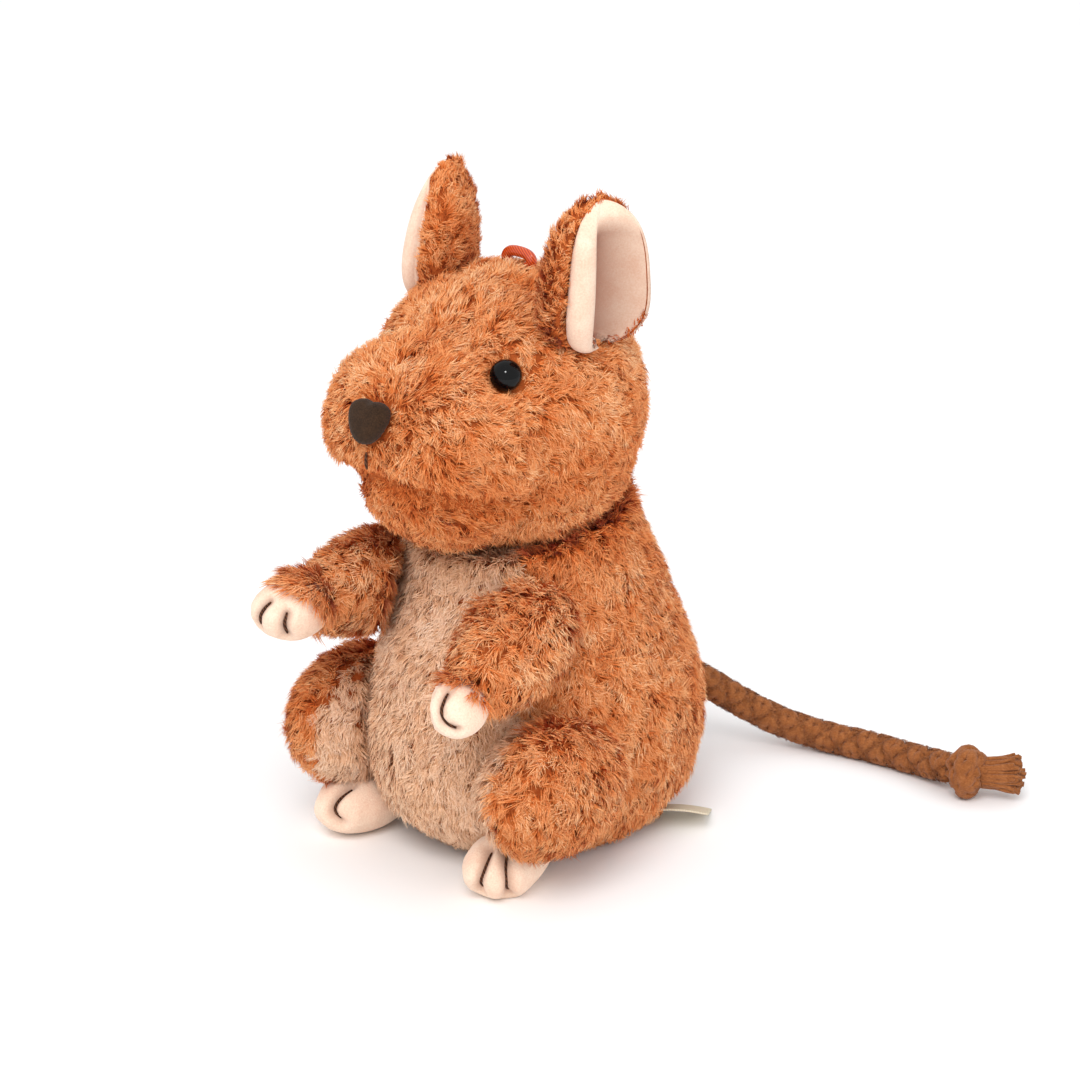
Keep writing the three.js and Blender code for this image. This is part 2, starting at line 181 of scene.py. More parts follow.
def backing_paint(name, dark, light):
    """The knitted cloth that a pile stands on, seen only between the tufts; its dark colours are partly its
    own and partly painted shade down in the pile.
    """
    paint = Paint(name, light, 0.95, Specular_IOR_Level=0.1)
    tufts = paint.combine(paint.noise(mm(1.6)), paint.noise(mm(9)), 0.4)
    return paint.colours(tufts, (0.3, dark), (0.7, light)).bump(paint.noise(mm(0.7)), mm(0.4)).material


def pile_paints(name, shades):
    """One material for each shade of a pile, from its roots to its tips."""
    made = []
    for i, shade in enumerate(shades):
        paint = Paint(f"{name}_{i}", shade, 0.8, Specular_IOR_Level=0.12, Sheen_Weight=0.04,
                      Sheen_Roughness=0.5)
        made.append(paint.rough(paint.noise(mm(0.8)), 0.65, 0.95).material)
    return made


def velour_paint(name, dark, light, fold):
    """Short-napped cloth, darkened with painted shade where a piece's own fold values say so."""
    paint = Paint(name, light, 0.9, Specular_IOR_Level=0.1, Sheen_Weight=0.2, Sheen_Roughness=0.5)
    nap = paint.combine(paint.noise(mm(0.35), 3), paint.noise(mm(5), 2), 0.45)
    paint.colours(nap, (0.32, dark), (0.62, light))
    cloth = paint.shader.inputs["Base Color"].links[0].from_socket
    # The fold colour is painted shade, mixed in by each point's fold value: deep in folds and under the
    # cuffs' pile.
    folds = paint.tree.nodes.new("ShaderNodeAttribute")
    folds.attribute_name = "fold"
    mixed = paint.tree.nodes.new("ShaderNodeMix")
    mixed.data_type = "RGBA"
    mixed.inputs["B"].default_value = linear(fold)
    paint.link(folds.outputs["Fac"], mixed.inputs["Factor"])
    paint.link(cloth, mixed.inputs["A"])
    paint.link(mixed.outputs["Result"], paint.shader.inputs["Base Color"])
    return paint.bump(paint.noise(mm(0.28), 3), mm(0.12), 0.7).material


def rope_paint():
    paint = Paint("rope", (140, 86, 50), 0.9, Specular_IOR_Level=0.12, Sheen_Weight=0.12)
    fibres = paint.combine(paint.noise(mm(0.4), 5, (1, 1, 0.4)), paint.noise(mm(3)), 0.4)
    paint.colours(fibres, (0.28, (104, 58, 26)), (0.5, (150, 90, 48)), (0.72, (184, 122, 76)))
    return paint.bump(paint.noise(mm(0.25), 4, (1, 1, 0.5)), mm(0.15), 0.8).material


def thread_paint():
    paint = Paint("thread", (82, 50, 34), 0.8, Specular_IOR_Level=0.2)
    twist = paint.wave(mm(0.5), "DIAGONAL")
    return paint.colours(twist, (0.2, (52, 30, 20)), (0.8, (98, 62, 42))).bump(twist, mm(0.08)).material


def eye_paint():
    paint = Paint("eye", (7, 7, 8), 0.08, Specular_IOR_Level=0.22)
    return paint.rough(paint.noise(mm(1.2)), 0.05, 0.1).material


def nose_paint():
    paint = Paint("nose", (60, 44, 34), 0.95, Specular_IOR_Level=0.1, Sheen_Weight=0.08,
                  Sheen_Roughness=0.5)
    nap = paint.combine(paint.noise(mm(0.3), 4), paint.noise(mm(2.5)), 0.35)
    paint.colours(nap, (0.3, (36, 25, 17)), (0.7, (70, 49, 34)))
    return paint.bump(paint.noise(mm(0.22), 3), mm(0.12), 0.8).material


def loop_paint():
    paint = Paint("loop", (206, 72, 22), 0.25, Coat_Weight=0.5, Coat_Roughness=0.12)
    twist = paint.wave(mm(0.35), "DIAGONAL", 0.5)
    return paint.colours(twist, (0.15, (168, 46, 12)), (0.8, (222, 90, 30))).bump(twist, mm(0.05)).material


def tag_paint():
    paint = Paint("tag", (226, 214, 190), 0.85, Specular_IOR_Level=0.2)
    weave = paint.weave(mm(0.3))
    return paint.colours(weave, (0.2, (204, 190, 162)), (0.8, (232, 222, 200))).bump(weave, mm(0.06)).material


def wadding_paint():
    paint = Paint("wadding", (236, 232, 224), 0.95, Sheen_Weight=0.3)
    fibres = paint.noise(mm(0.9), 5, (1, 1, 0.4))
    paint.colours(fibres, (0.3, (214, 208, 198)), (0.7, (244, 242, 236)))
    return paint.bump(fibres, mm(0.3)).material


def pouch_paint():
    paint = Paint("pouch", (150, 146, 138), 0.9)
    weave = paint.weave(mm(0.5))
    return paint.colours(weave, (0.2, (120, 116, 108)), (0.8, (168, 164, 156))).bump(weave, mm(0.1)).material


def washer_paint():
    paint = Paint("washer", (232, 232, 228), 0.4)
    marks = paint.noise(mm(1), 3)
    return paint.colours(marks, (0.3, (222, 222, 218)), (0.7, (238, 238, 235))).bump(marks, mm(0.03)).material


def floor_paint():
    paint = Paint("floor", (250, 250, 250), 0.7, Specular_IOR_Level=0.2)
    return paint.colours(paint.noise(0.3, 2), (0.3, (249, 249, 250)), (0.7, (252, 252, 252))).material


# The first, darkest shade of the fur and the belly pile is for painted shade, reached mostly in creases,
# under the chin and by the ears.
FUR_SHADES = [(122, 58, 28), (164, 68, 25), (190, 88, 36), (206, 102, 46), (218, 118, 58), (226, 134, 74),
              (233, 150, 92), (241, 170, 114), (248, 195, 146)]
BELLY_SHADES = [(128, 84, 60), (170, 108, 74), (202, 141, 100), (220, 162, 119), (231, 176, 134),
                (239, 189, 149), (246, 201, 164), (250, 212, 180), (253, 224, 199)]
ROPE_SHADES = [(96, 52, 26), (122, 70, 38), (144, 88, 52), (162, 104, 66), (178, 120, 82)]
PAINTS = {
    "fur": pile_paints("fur", FUR_SHADES),
    "belly_fur": pile_paints("belly_fur", BELLY_SHADES),
    "rope_fuzz": pile_paints("rope_fuzz", ROPE_SHADES),
    "fur_backing": backing_paint("fur_backing", (152, 68, 28), (192, 100, 50)),
    # The velour's third colour is the painted shade for its folds and for the cloth under the cuffs.
    "velour": velour_paint("velour", (235, 194, 168), (249, 223, 200), (140, 88, 68)),
    "rope": rope_paint(),
    "thread": thread_paint(),
    "eye": eye_paint(),
    "nose": nose_paint(),
    "loop": loop_paint(),
    "tag": tag_paint(),
    "wadding": wadding_paint(),
    "pouch": pouch_paint(),
    "washer": washer_paint(),
    "floor": floor_paint(),
}


# ---------------------------------------------------------------- meshes
def points_of(mesh):
    co = np.empty(len(mesh.vertices) * 3)
    mesh.vertices.foreach_get("co", co)
    return co.reshape(-1, 3)


def triangles_of(mesh):
    mesh.calc_loop_triangles()
    tri = np.empty(len(mesh.loop_triangles) * 3, int)
    mesh.loop_triangles.foreach_get("vertices", tri)
    return tri.reshape(-1, 3)


def unit(v):
    return v / np.maximum(np.linalg.norm(v, axis=-1, keepdims=True), 1e-12)


def paint_shade_in_folds(piece, values):
    """Gives a piece's points their fold values, the share of painted shade: from 0 in the open to 1 deep in a
    fold.
    """
    fold = piece.data.attributes.new("fold", "FLOAT", "POINT")
    fold.data.foreach_set("value", np.clip(values, 0, 1).astype(np.float32))


def new_piece(name, points, faces, paint, body, slot):
    """A smooth-shaded mesh that rides on a body."""
    mesh = bpy.data.meshes.new(name)
    mesh.from_pydata([tuple(p) for p in points], [], [tuple(f) for f in faces])
    return dress(name, mesh, [PAINTS[paint]], body)


def stuffed_piece(name, points, faces, paint, body, slot, nodes):
    """A soft piece that stands for CAD nodes."""
    piece = new_piece(name, points, faces, paint, body, slot)
    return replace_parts(piece, *nodes)


def dress(name, mesh, paints, body):
    for paint in paints:
        mesh.materials.append(paint)
    mesh.shade_smooth()
    piece = bpy.data.objects.new(name, mesh)
    bpy.context.scene.collection.objects.link(piece)
    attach(piece, body)
    return piece


def box_centre(node):
    low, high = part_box(node)
    return np.array((low + high) / 2)


def tree_of(points, faces):
    """A search tree of a surface, for finding its nearest place or the first one met."""
    return BVHTree.FromPolygons(np.asarray(points).tolist(), [tuple(f) for f in faces])


def gap_to(tree, points):
    """Each point's distance to the surface of a tree."""
    return np.array([tree.find_nearest(Vector(p))[3] for p in points])


def distance_to(place, points):
    """Each point's distance to a place."""
    return np.linalg.norm(points - np.array(place), axis=1)


def hump(distance, width):
    """1 at no distance, falling off smoothly over a width."""
    return np.exp(-((distance / width) ** 2))


def cad_tree(*nodes):
    """A search tree of the surfaces of these CAD nodes."""
    points, faces = [], []
    for node in nodes:
        mesh = frame["nodes"][node].data
        faces += (triangles_of(mesh) + len(points)).tolist()
        points += points_of(mesh).tolist()
    return tree_of(points, faces)


def halves(quads):
    return [t for a, b, c, d in quads for t in ((a, b, c), (a, c, d))]


def flipped(faces):
    return [tuple(reversed(f)) for f in faces]


def edges_of(faces):
    pairs = np.concatenate([faces[:, [0, 1]], faces[:, [1, 2]], faces[:, [2, 0]]])
    return np.unique(np.sort(pairs, axis=1), axis=0)


def spread_out(values, edges, count):
    """Each value's mean over its neighbours along the edges."""
    total = np.zeros_like(values)
    for k in range(values.shape[1]):
        total[:, k] = (np.bincount(edges[:, 0], values[edges[:, 1], k], len(values))
                       + np.bincount(edges[:, 1], values[edges[:, 0], k], len(values)))
    return total / count[:, None]


def normals_of(points, faces):
    a, b, c = (points[faces[:, i]] for i in range(3))
    face = np.cross(b - a, c - a)
    total = np.zeros_like(points)
    for i in range(3):
        for k in range(3):
            total[:, k] += np.bincount(faces[:, i], face[:, k], len(points))
    return unit(total)


class Form:
    """A closed skin over CAD nodes: a ball of points drawn in until they meet the nodes from outside."""

    def __init__(self, nodes, detail, inset=0.0, relax=6):
        self.nodes = nodes
        low = Vector(np.min([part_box(n)[0] for n in nodes], axis=0))
        high = Vector(np.max([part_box(n)[1] for n in nodes], axis=0))
        centre, half = (low + high) / 2, (high - low) / 2
        ball = bmesh.new()
        bmesh.ops.create_icosphere(ball, subdivisions=detail, radius=1)
        self.faces = np.array([[v.index for v in f.verts] for f in ball.faces])
        ways = [Vector((v.co.x * half.x, v.co.y * half.y, v.co.z * half.z)).normalized() for v in ball.verts]
        ball.free()
        tree = cad_tree(*nodes)
        far = half.length * 3
        reach = np.zeros(len(ways))
        for i, way in enumerate(ways):
            place = tree.ray_cast(centre + way * far, -way, far)[0]
            reach[i] = (place - centre).length if place else 0
        self.edges = edges_of(self.faces)
        self.count = np.bincount(self.edges.ravel(), minlength=len(ways)).astype(float)
        filled = self.mended(reach, 24 >> (6 - detail))
        self.points = np.array(ways) * filled[:, None] + np.array(centre)
        self.relax(relax)
        self.push(np.full(len(self.points), -inset))

    def mended(self, reach, steps):
        """The reach with the slots between panels and the holes in them filled from around them."""
        broad = reach[:, None].copy()
        for _ in range(steps):
            broad = np.maximum(spread_out(broad, self.edges, self.count), broad * 0.97)
        slots = reach < broad[:, 0] - mm(0.9)
        filled = reach[:, None].copy()
        for _ in range(60):
            filled[slots] = spread_out(filled, self.edges, self.count)[slots]
        return filled[:, 0]

    def relax(self, steps):
        """Smooths the points; the second, outward half of each step keeps the form from shrinking."""
        for _ in range(steps):
            for share in (0.5, -0.51):
                mean = spread_out(self.points, self.edges, self.count)
                self.points += share * (mean - self.points)

    def push(self, amount):
        """Moves the surface out by these amounts, one for each point."""
        self.points += normals_of(self.points, self.faces) * amount[:, None]

    def dent(self, centre, radius, depth):
        self.push(-depth * hump(distance_to(centre, self.points), radius))

    def groove(self, line, width, depth):
        """A crease along a line of points."""
        self.push(-depth * hump(distance_to_line(self.points, line), width))

    def skin(self, name, body, fill):
        """The cloth that a pile stands on."""
        stuffed_piece(name, self.points, self.faces, "fur_backing", body, "fur", self.nodes)


def kept_off(points, tree, gap):
    """The points, with those nearer a surface than gap, or on its wrong side, moved to that distance.

    A gap below zero keeps them inside the surface."""
    moved = points.copy()
    for i, p in enumerate(points):
        place, normal, _, away = tree.find_nearest(Vector(p))
        height = (Vector(p) - place).dot(normal)
        if away < abs(gap) or height * gap < 0:
            moved[i] = place + normal * gap
    return moved


def make_wadding(part, around, body, inset, skin=None, side=""):
    """The stuffing inside a skin: a lumpy ball of fibre, well under the cloth around it."""
    wad = Form(around, 4, inset=inset, relax=4)
    wad.push(-mm(0.5) * np.abs(smooth_noise(wad.points, mm(3), 5)))
    if skin:
        cloth = bpy.data.objects[skin].data
        wad.points = kept_off(wad.points, tree_of(points_of(cloth), triangles_of(cloth)), -mm(1.5))
    stuffed_piece(f"{part}_wadding{side}", wad.points, wad.faces, "wadding", body, "filling",
                  [f"{part}_stuffing{side}"])


def distance_to_line(points, line):
    """Each point's distance to a polyline."""
    best = np.full(len(points), 1e9)
    for a, b in zip(line[:-1], line[1:]):
        a, b = np.array(a), np.array(b)
        t = np.clip((points - a) @ (b - a) / max((b - a) @ (b - a), 1e-15), 0, 1)
        best = np.minimum(best, np.linalg.norm(points - a - t[:, None] * (b - a), axis=1))
    return best


# ---------------------------------------------------------------- pile
# A pile's strands: length and width in mm, lean and stray in degrees, hook the curl in mm, strands in a
# lock, locks on a square mm, and how patchy its colour is.
FUR = dict(length=3.8, lean=40, stray=50, hook=1.1, width=0.19, strands=20, locks=0.78, patchy=1.0)
BELLY_FUR = dict(FUR, length=3.6, lean=46, stray=35, hook=0.8, width=0.18, locks=0.75, patchy=0.7)
EAR_FUR = dict(FUR, length=2.7, lean=36, hook=0.8, width=0.18, strands=18, locks=0.9, patchy=0.8)
NECK_FUR = dict(FUR, length=4.8, lean=24, stray=60, hook=0.7, width=0.2, strands=18, locks=0.8, patchy=0.7)
CUFF_FUR = dict(FUR, length=4.2, lean=60, stray=30, hook=0.8, strands=22, locks=1.1)
ROPE_FUR = dict(length=0.8, lean=58, stray=60, hook=0.3, width=0.09, strands=5, locks=2.5, patchy=0.3)
LOCK_RADIUS = mm(0.95)        # how far round its middle a lock's strands stand, in a long pile
FUZZ_RADIUS = mm(0.4)         # and in one under a millimetre long
GATHER = 0.62                 # how much of that they close up towards the tip
ROOTED = 0.12                 # a strand's part below the cloth
DARKEST = -1.6                # the least shade that chance alone gives
PATCH, FLECK = mm(6), mm(1.7)      # how wide the patches of one lie or shade are, and the flecks in them
STEPS = np.array([0, 0.34, 0.68, 1.0])      # where a strand has its points, from root to tip
TAPER = np.array([0.85, 1.0, 0.72])         # its width there; the tip is a point
# Each strand is darker at its root and lighter at its tip: partly the fibres' own colour, partly painted
# shade down between the locks.
SHADE_STEPS = np.array([0.34, 0.56, 0.81])  # where its three faces lie among the shades


def sampled(points, faces, density, rng):
    """Evenly spread places on a surface with their normals, so many on a square millimetre."""
    a, b, c = (points[faces[:, i]] for i in range(3))
    area = np.linalg.norm(np.cross(b - a, c - a), axis=1) / 2
    amount = int(area.sum() / MM**2 * density)
    total = np.cumsum(area)
    picks = (np.arange(amount) + rng.random(amount)) / amount * total[-1]
    chosen = np.minimum(np.searchsorted(total, picks), len(faces) - 1)
    u, v = rng.random((2, amount))
    flip = u + v > 1
    u[flip], v[flip] = 1 - u[flip], 1 - v[flip]
    weights = np.stack([1 - u - v, u, v], axis=1)
    corner_normals = normals_of(points, faces)[faces[chosen]]
    corners = points[faces[chosen]]
    return (corners * weights[:, :, None]).sum(1), unit((corner_normals * weights[:, :, None]).sum(1))


def turned(vectors, axes, angles):
    """Vectors turned about axes by angles, row by row."""
    c, s = np.cos(angles)[:, None], np.sin(angles)[:, None]
    along = (vectors * axes).sum(1)[:, None]
    return vectors * c + np.cross(axes, vectors) * s + axes * along * (1 - c)


def smooth_noise(points, size, seed):
    offset = Vector((seed * 7.3, seed * 3.1, seed * 5.7))
    return np.array([noise.noise(Vector(p) / size + offset) for p in points])


def strand_mesh(name, vertices, shades):
    """Strands of two four-sided faces and a pointed tip each, over their seven points in turn."""
    total = len(vertices)
    base = (np.arange(total) * 7)[:, None]
    loops = np.concatenate([base + np.array([0, 1, 3, 2, 2, 3, 5, 4]), base + np.array([4, 5, 6])], axis=1)
    starts = (np.arange(total) * 11)[:, None] + np.array([0, 4, 8])
    mesh = bpy.data.meshes.new(name)
    mesh.vertices.add(total * 7)
    mesh.vertices.foreach_set("co", vertices.reshape(-1).astype(np.float32))
    mesh.loops.add(total * 11)
    mesh.loops.foreach_set("vertex_index", loops.reshape(-1).astype(np.int32))
    mesh.polygons.add(total * 3)
    mesh.polygons.foreach_set("loop_start", starts.reshape(-1).astype(np.int32))
    mesh.polygons.foreach_set("material_index", shades.reshape(-1).astype(np.int32))
    mesh.update(calc_edges=True)
    mesh.validate()
    return mesh


def everywhere(points):
    return np.ones(len(points), bool)


def towards(*way):
    """comb() for grow: the same way everywhere."""
    return lambda points: np.tile(np.array(way, float), (len(points), 1))


def at_places(value, places):
    """A value at each place, where it's a function of them, or one for all."""
    return value(places) if callable(value) else value


def grow(name, form, style, paint, body, comb, keep, seed, length=1, painted_light_and_shade=0):
    """A pile of tapered strands in curling locks, over the part of a form that keep(points) picks.

    comb(points) says which way it lies, length scales it, and painted_light_and_shade lightens it: painted
    light above zero, painted shade below."""
    rng = np.random.default_rng(seed)
    place, normal = sampled(form.points, form.faces, style["locks"], rng)
    kept = keep(place)
    place, normal = place[kept], normal[kept]
    count, each = len(place), style["strands"]

    lie = comb(place)
    lie = unit(lie - (lie * normal).sum(1)[:, None] * normal)
    stray = rng.normal(0, 0.55, count) + 1.3 * smooth_noise(place, PATCH, seed)
    lie = turned(lie, normal, stray * math.radians(style["stray"]))
    shade = 1.5 * smooth_noise(place, PATCH, seed + 1) + smooth_noise(place, FLECK, seed + 2)
    shade = style["patchy"] * (shade + rng.normal(0, 0.35, count))
    # Painted light and shade are added on top of the pile's chance shade.
    shade = np.maximum(shade, DARKEST) + at_places(painted_light_and_shade, place)
    scale = at_places(length, place) * rng.uniform(0.8, 1.2, count)
    hook = mm(style["hook"]) * rng.normal(0, 1, count)
    tilt = style["lean"] + rng.normal(0, 11, count)

    def each_strand(values):
        return np.repeat(values, each, axis=0)

    total = count * each
    n, d, scale, shade = (each_strand(v) for v in (normal, lie, scale, shade))
    side = np.cross(n, d)
    radius = np.sqrt(rng.random(total)) * (LOCK_RADIUS if style["length"] > 1 else FUZZ_RADIUS)
    angle = rng.random(total) * 2 * math.pi
    offset = (d * np.cos(angle)[:, None] + side * np.sin(angle)[:, None]) * radius[:, None]
    root = each_strand(place) + offset - n * mm(ROOTED * style["length"])
    d = turned(d, n, rng.normal(0, 0.2, total))
    side = np.cross(n, d)
    lean = np.radians(each_strand(tilt) + rng.normal(0, 13, total))
    long = mm(style["length"]) * scale * rng.uniform(0.78, 1.1, total)
    bend = (each_strand(hook) + mm(0.35) * rng.normal(0, 1, total)) * scale
    t = STEPS[None, :, None]
    rise = (long * np.cos(lean * 0.62))[:, None, None] * (t - 0.36 * t**2)
    run = (long * np.sin(lean))[:, None, None] * t**1.5
    sway = bend[:, None, None] * (1.25 * t**2 - 0.25 * t)
    gather = -GATHER * offset[:, None, :] * t**1.2
    line = root[:, None, :] + n[:, None, :] * rise + d[:, None, :] * run + side[:, None, :] * sway + gather
    tangent = unit(np.gradient(line, axis=1))
    flat = turned(side, unit(n + d), rng.normal(0, 0.6, total))[:, None, :]
    across = unit(flat - (flat * tangent).sum(-1)[..., None] * tangent)
    facing = np.cross(across, tangent)
    outward = np.where((facing.mean(1) * n).sum(-1) < 0, -1.0, 1.0)[:, None, None]
    across, facing = across * outward, facing * outward
    half = mm(style["width"]) / 2 * rng.uniform(0.75, 1.25, total)[:, None, None] * TAPER[None, :, None]
    left, right = line[:, :3] - across[:, :3] * half, line[:, :3] + across[:, :3] * half
    vertices = np.concatenate([np.stack([left, right], axis=2).reshape(total, 6, 3), line[:, 3:]], axis=1)
    vertices[..., 2] = np.maximum(vertices[..., 2], mm(0.1))      # none goes into the table
    shading = unit(n[:, None, :] + 0.45 * unit(facing))
    shading = np.concatenate([np.repeat(shading[:, :3], 2, axis=1), shading[:, 3:]], axis=1)

    shade = shade + style["patchy"] * rng.normal(0, 0.4, total)
    last = len(PAINTS[paint]) - 1
    index = np.clip(np.round(shade[:, None] + SHADE_STEPS * last), 0, last)
    mesh = strand_mesh(name, vertices, index)
    dress(name, mesh, PAINTS[paint], body)
    mesh.normals_split_custom_set_from_vertices(shading.reshape(-1, 3))


def owner_test(nodes, wanted):
    """keep() for grow: places whose nearest CAD node, of these, is the wanted one."""
    trees = [cad_tree(n) for n in nodes]

    def keep(points):
        return np.argmin([gap_to(tree, points) for tree in trees], axis=0) == nodes.index(wanted)

    return keep


def passing(*tests):
    """keep() for grow: places that pass each of these tests."""
    return lambda points: np.logical_and.reduce([test(points) for test in tests])


def clear_of(tree, points, gap):
    return gap_to(tree, points) > gap


def short_by(distance, start, over, least):
    """A pile's length beside something: the least of it up to start mm away, all of it over more mm on."""
    return np.clip((distance - mm(start)) / mm(over), least, 1)


# ---------------------------------------------------------------- tail
TAIL_WIDTH = mm(5.8)
TAIL_ROUTE = [mm(*p) for p in (
    (0.7, 47.6, 17.3), (1.9, 50.2, 16.2), (4.8, 53.2, 14), (8.4, 56.2, 11), (12.4, 59.4, 8),
    (16.8, 62.6, 5.4), (21.6, 65.2, 3.8), (26.6, 67, 3.1), (31.8, 68.2, 3), (37.2, 69, 3),
    (42.6, 69.3, 3), (48.4, 69, 3.5), (53.8, 68.1, 4.3))]


def lengths_along(line):
    """How far along a line each of its points lies."""
    return np.concatenate([[0], np.cumsum(np.linalg.norm(np.diff(line, axis=0), axis=1))])


def smooth_line(points, amount):
    """A Catmull-Rom curve through points, at even steps along its length."""
    p = np.array(points)
    p = np.concatenate([[2 * p[0] - p[1]], p, [2 * p[-1] - p[-2]]])
    fine = []
    for i in range(1, len(p) - 2):
        for t in np.linspace(0, 1, 16, endpoint=False):
            fine.append(0.5 * (2 * p[i] + (p[i + 1] - p[i - 1]) * t
                               + (2 * p[i - 1] - 5 * p[i] + 4 * p[i + 1] - p[i + 2]) * t**2
                               + (3 * p[i] - p[i - 1] - 3 * p[i + 1] + p[i + 2]) * t**3))
    fine = np.array(fine + [p[-2]])
    along = lengths_along(fine)
    even = np.linspace(0, along[-1], amount)
    return np.stack([np.interp(even, along, fine[:, k]) for k in range(3)], axis=1)


def frames_along(line):
    """The tangent and two steady directions across it, at each point of a line."""
    tangent = unit(np.gradient(line, axis=0))
    across = np.zeros_like(line)
    across[0] = unit(np.cross(tangent[0], [0, 0, 1.0]))
    for i in range(1, len(line)):
        across[i] = unit(across[i - 1] - (across[i - 1] @ tangent[i]) * tangent[i])
    return tangent, across, np.cross(tangent, across)


def tube(line, radius, sides=8, flat=1.0, outward=None):
    """Points and faces of a closed tube; radius may vary, and flat squeezes it along outward."""
    radius = np.broadcast_to(radius, len(line))
    tangent, across, up = frames_along(line)
    if outward is not None:
        up = unit(outward - (outward * tangent).sum(1)[:, None] * tangent)
        across = np.cross(up, tangent)
    angle = np.arange(sides) / sides * 2 * math.pi
    rings = (line[:, None] + (across[:, None] * np.cos(angle)[:, None]
                              + flat * up[:, None] * np.sin(angle)[:, None]) * radius[:, None, None])
    points = np.concatenate([rings.reshape(-1, 3), line[:1], line[-1:]])
    faces, last = ring_faces(len(line), sides), len(line) - 1
    for k in range(sides):
        faces.append(((k + 1) % sides, k, len(points) - 2))
        faces.append((last * sides + k, last * sides + (k + 1) % sides, len(points) - 1))
    return points, faces


def ring_faces(rows, ring):
    """The quads between rows of points, each row a closed ring."""
    return [(i * ring + k, i * ring + (k + 1) % ring, (i + 1) * ring + (k + 1) % ring, (i + 1) * ring + k)
            for i in range(rows - 1) for k in range(ring)]


def ring_ends(rows, ring):
    """The faces that close the first and the last ring."""
    return [tuple(range(ring))[::-1], tuple(range((rows - 1) * ring, rows * ring))]


def joined(*tubes):
    points, faces = [], []
    for p, f in tubes:
        faces += [tuple(i + len(points) for i in face) for face in f]
        points += list(p)
    return points, faces


PLAITS = 4                    # strands of the braid going each way round
PLAIT_PITCH = mm(12)          # a strand goes once round in this length
PLAIT_WIDTH = mm(1.15)        # half a strand's width
PLAIT_OUT, PLAIT_LIFT = 0.68, 0.1      # how far out the strands run, and how much more or less in crossing
KNOT = {"turns": 1.35, "radius": mm(2.35), "climb": mm(1.15), "collar": mm(4.9), "core": mm(4.6)}
TUFT = {"yarns": 170, "thick": mm(0.5), "start": mm(2.4), "wide": mm(2.6), "flare": mm(1.1),
        "crimp": mm(0.3)}


def braid(line, width):
    """The strands of a round braid along a line, going over and under each other."""
    _, across, up = frames_along(line)
    along = lengths_along(line)
    strands = []
    for way in (1, -1):
        for k in range(PLAITS):
            angle = way * along / PLAIT_PITCH * 2 * math.pi + (k + 0.25 * way) * 2 * math.pi / PLAITS
            lift = PLAIT_LIFT * way * np.cos(PLAITS * along / PLAIT_PITCH * 2 * math.pi + math.pi * k)
            radius = width / 2 * (PLAIT_OUT + lift)
            out = across * np.cos(angle)[:, None] + up * np.sin(angle)[:, None]
            strands.append(tube(line + out * radius[:, None], PLAIT_WIDTH, 8, 0.8, out))
    core = tube(line, width * 0.3, 8)
    return joined(*strands, core)


def make_tail():
    line = smooth_line(TAIL_ROUTE, 150)
    rope = rope_piece("braided_tail", braid(line, TAIL_WIDTH), "tail_rope")
    knot = make_knot(line)
    tuft = make_tuft()
    sleeve, faces = tube(smooth_line(line, 60), TAIL_WIDTH * 0.49, 12)
    around = Patch(sleeve, halves(f for f in faces if len(f) == 4))
    comb = towards(*unit(line[-1] - line[0]))
    grow("rope_fuzz", around, ROPE_FUR, "rope_fuzz", "tail", comb, everywhere, 150)
    make_tail_root(line)


def rope_piece(name, mesh, node):
    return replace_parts(new_piece(name, *mesh, "rope", "tail", "rope"), node)


def make_knot(line):
    """An overhand knot: a pinched loop of the same braid round the rope's end."""
    centre = box_centre("tail_knot")
    way = unit(unit(line[-1] - line[-4]) * np.array([1, 1, 0]))
    up = np.array([0, 0, 1.0])
    aside = np.cross(up, way)
    a = np.linspace(0, 2 * math.pi * KNOT["turns"], 60)[:, None]
    climb = way * KNOT["climb"] * np.sin(a * 0.75 - 0.6)
    collar = braid(centre + KNOT["radius"] * (aside * np.cos(a) + up * np.sin(a)) + climb, KNOT["collar"])
    through = braid(centre + way * np.linspace(-mm(3.9), mm(3.6), 20)[:, None], KNOT["core"])
    return rope_piece("tail_end_knot", joined(collar, through), "tail_knot")


def make_tuft():
    """The frayed end past the knot: a short thick bundle of loose yarns."""
    rng = np.random.default_rng(31)
    centre, start = box_centre("tail_tuft"), box_centre("tail_knot")
    way = unit(centre - start)
    aside = unit(np.cross([0, 0, 1.0], way))
    up = np.cross(way, aside)
    reach = float(np.linalg.norm(centre - start)) + mm(1.7)
    yarns = []
    t = np.linspace(0, 1, 7)[:, None]
    for _ in range(TUFT["yarns"]):
        angle, out = rng.uniform(0, 2 * math.pi), math.sqrt(rng.random())
        spoke = aside * math.cos(angle) + up * math.sin(angle)
        long = reach * (1.05 - 0.14 * out) * rng.uniform(0.9, 1.06) - TUFT["start"]
        spread = out * (TUFT["wide"] + TUFT["flare"] * t**1.5)
        crimp = aside * np.sin(t * 7 + rng.uniform(0, 6)) + up * np.cos(t * 6 + rng.uniform(0, 6))
        line = start + way * (TUFT["start"] + long * t) + spoke * spread + crimp * TUFT["crimp"] * t
        yarns.append(tube(line, TUFT["thick"] * np.linspace(1, 0.7, 7), 6))
    return rope_piece("frayed_tail_end", joined(*yarns), "tail_tuft")


def make_tail_root(line):
    """The rope's stretch that goes into the seam."""
    start = box_centre("tail_root")
    inner = smooth_line([start - unit(line[0] - start) * mm(3), start, (start + line[0]) / 2, line[0]], 24)
    rope_piece("tail_seam_root", braid(inner, TAIL_WIDTH), "tail_root")


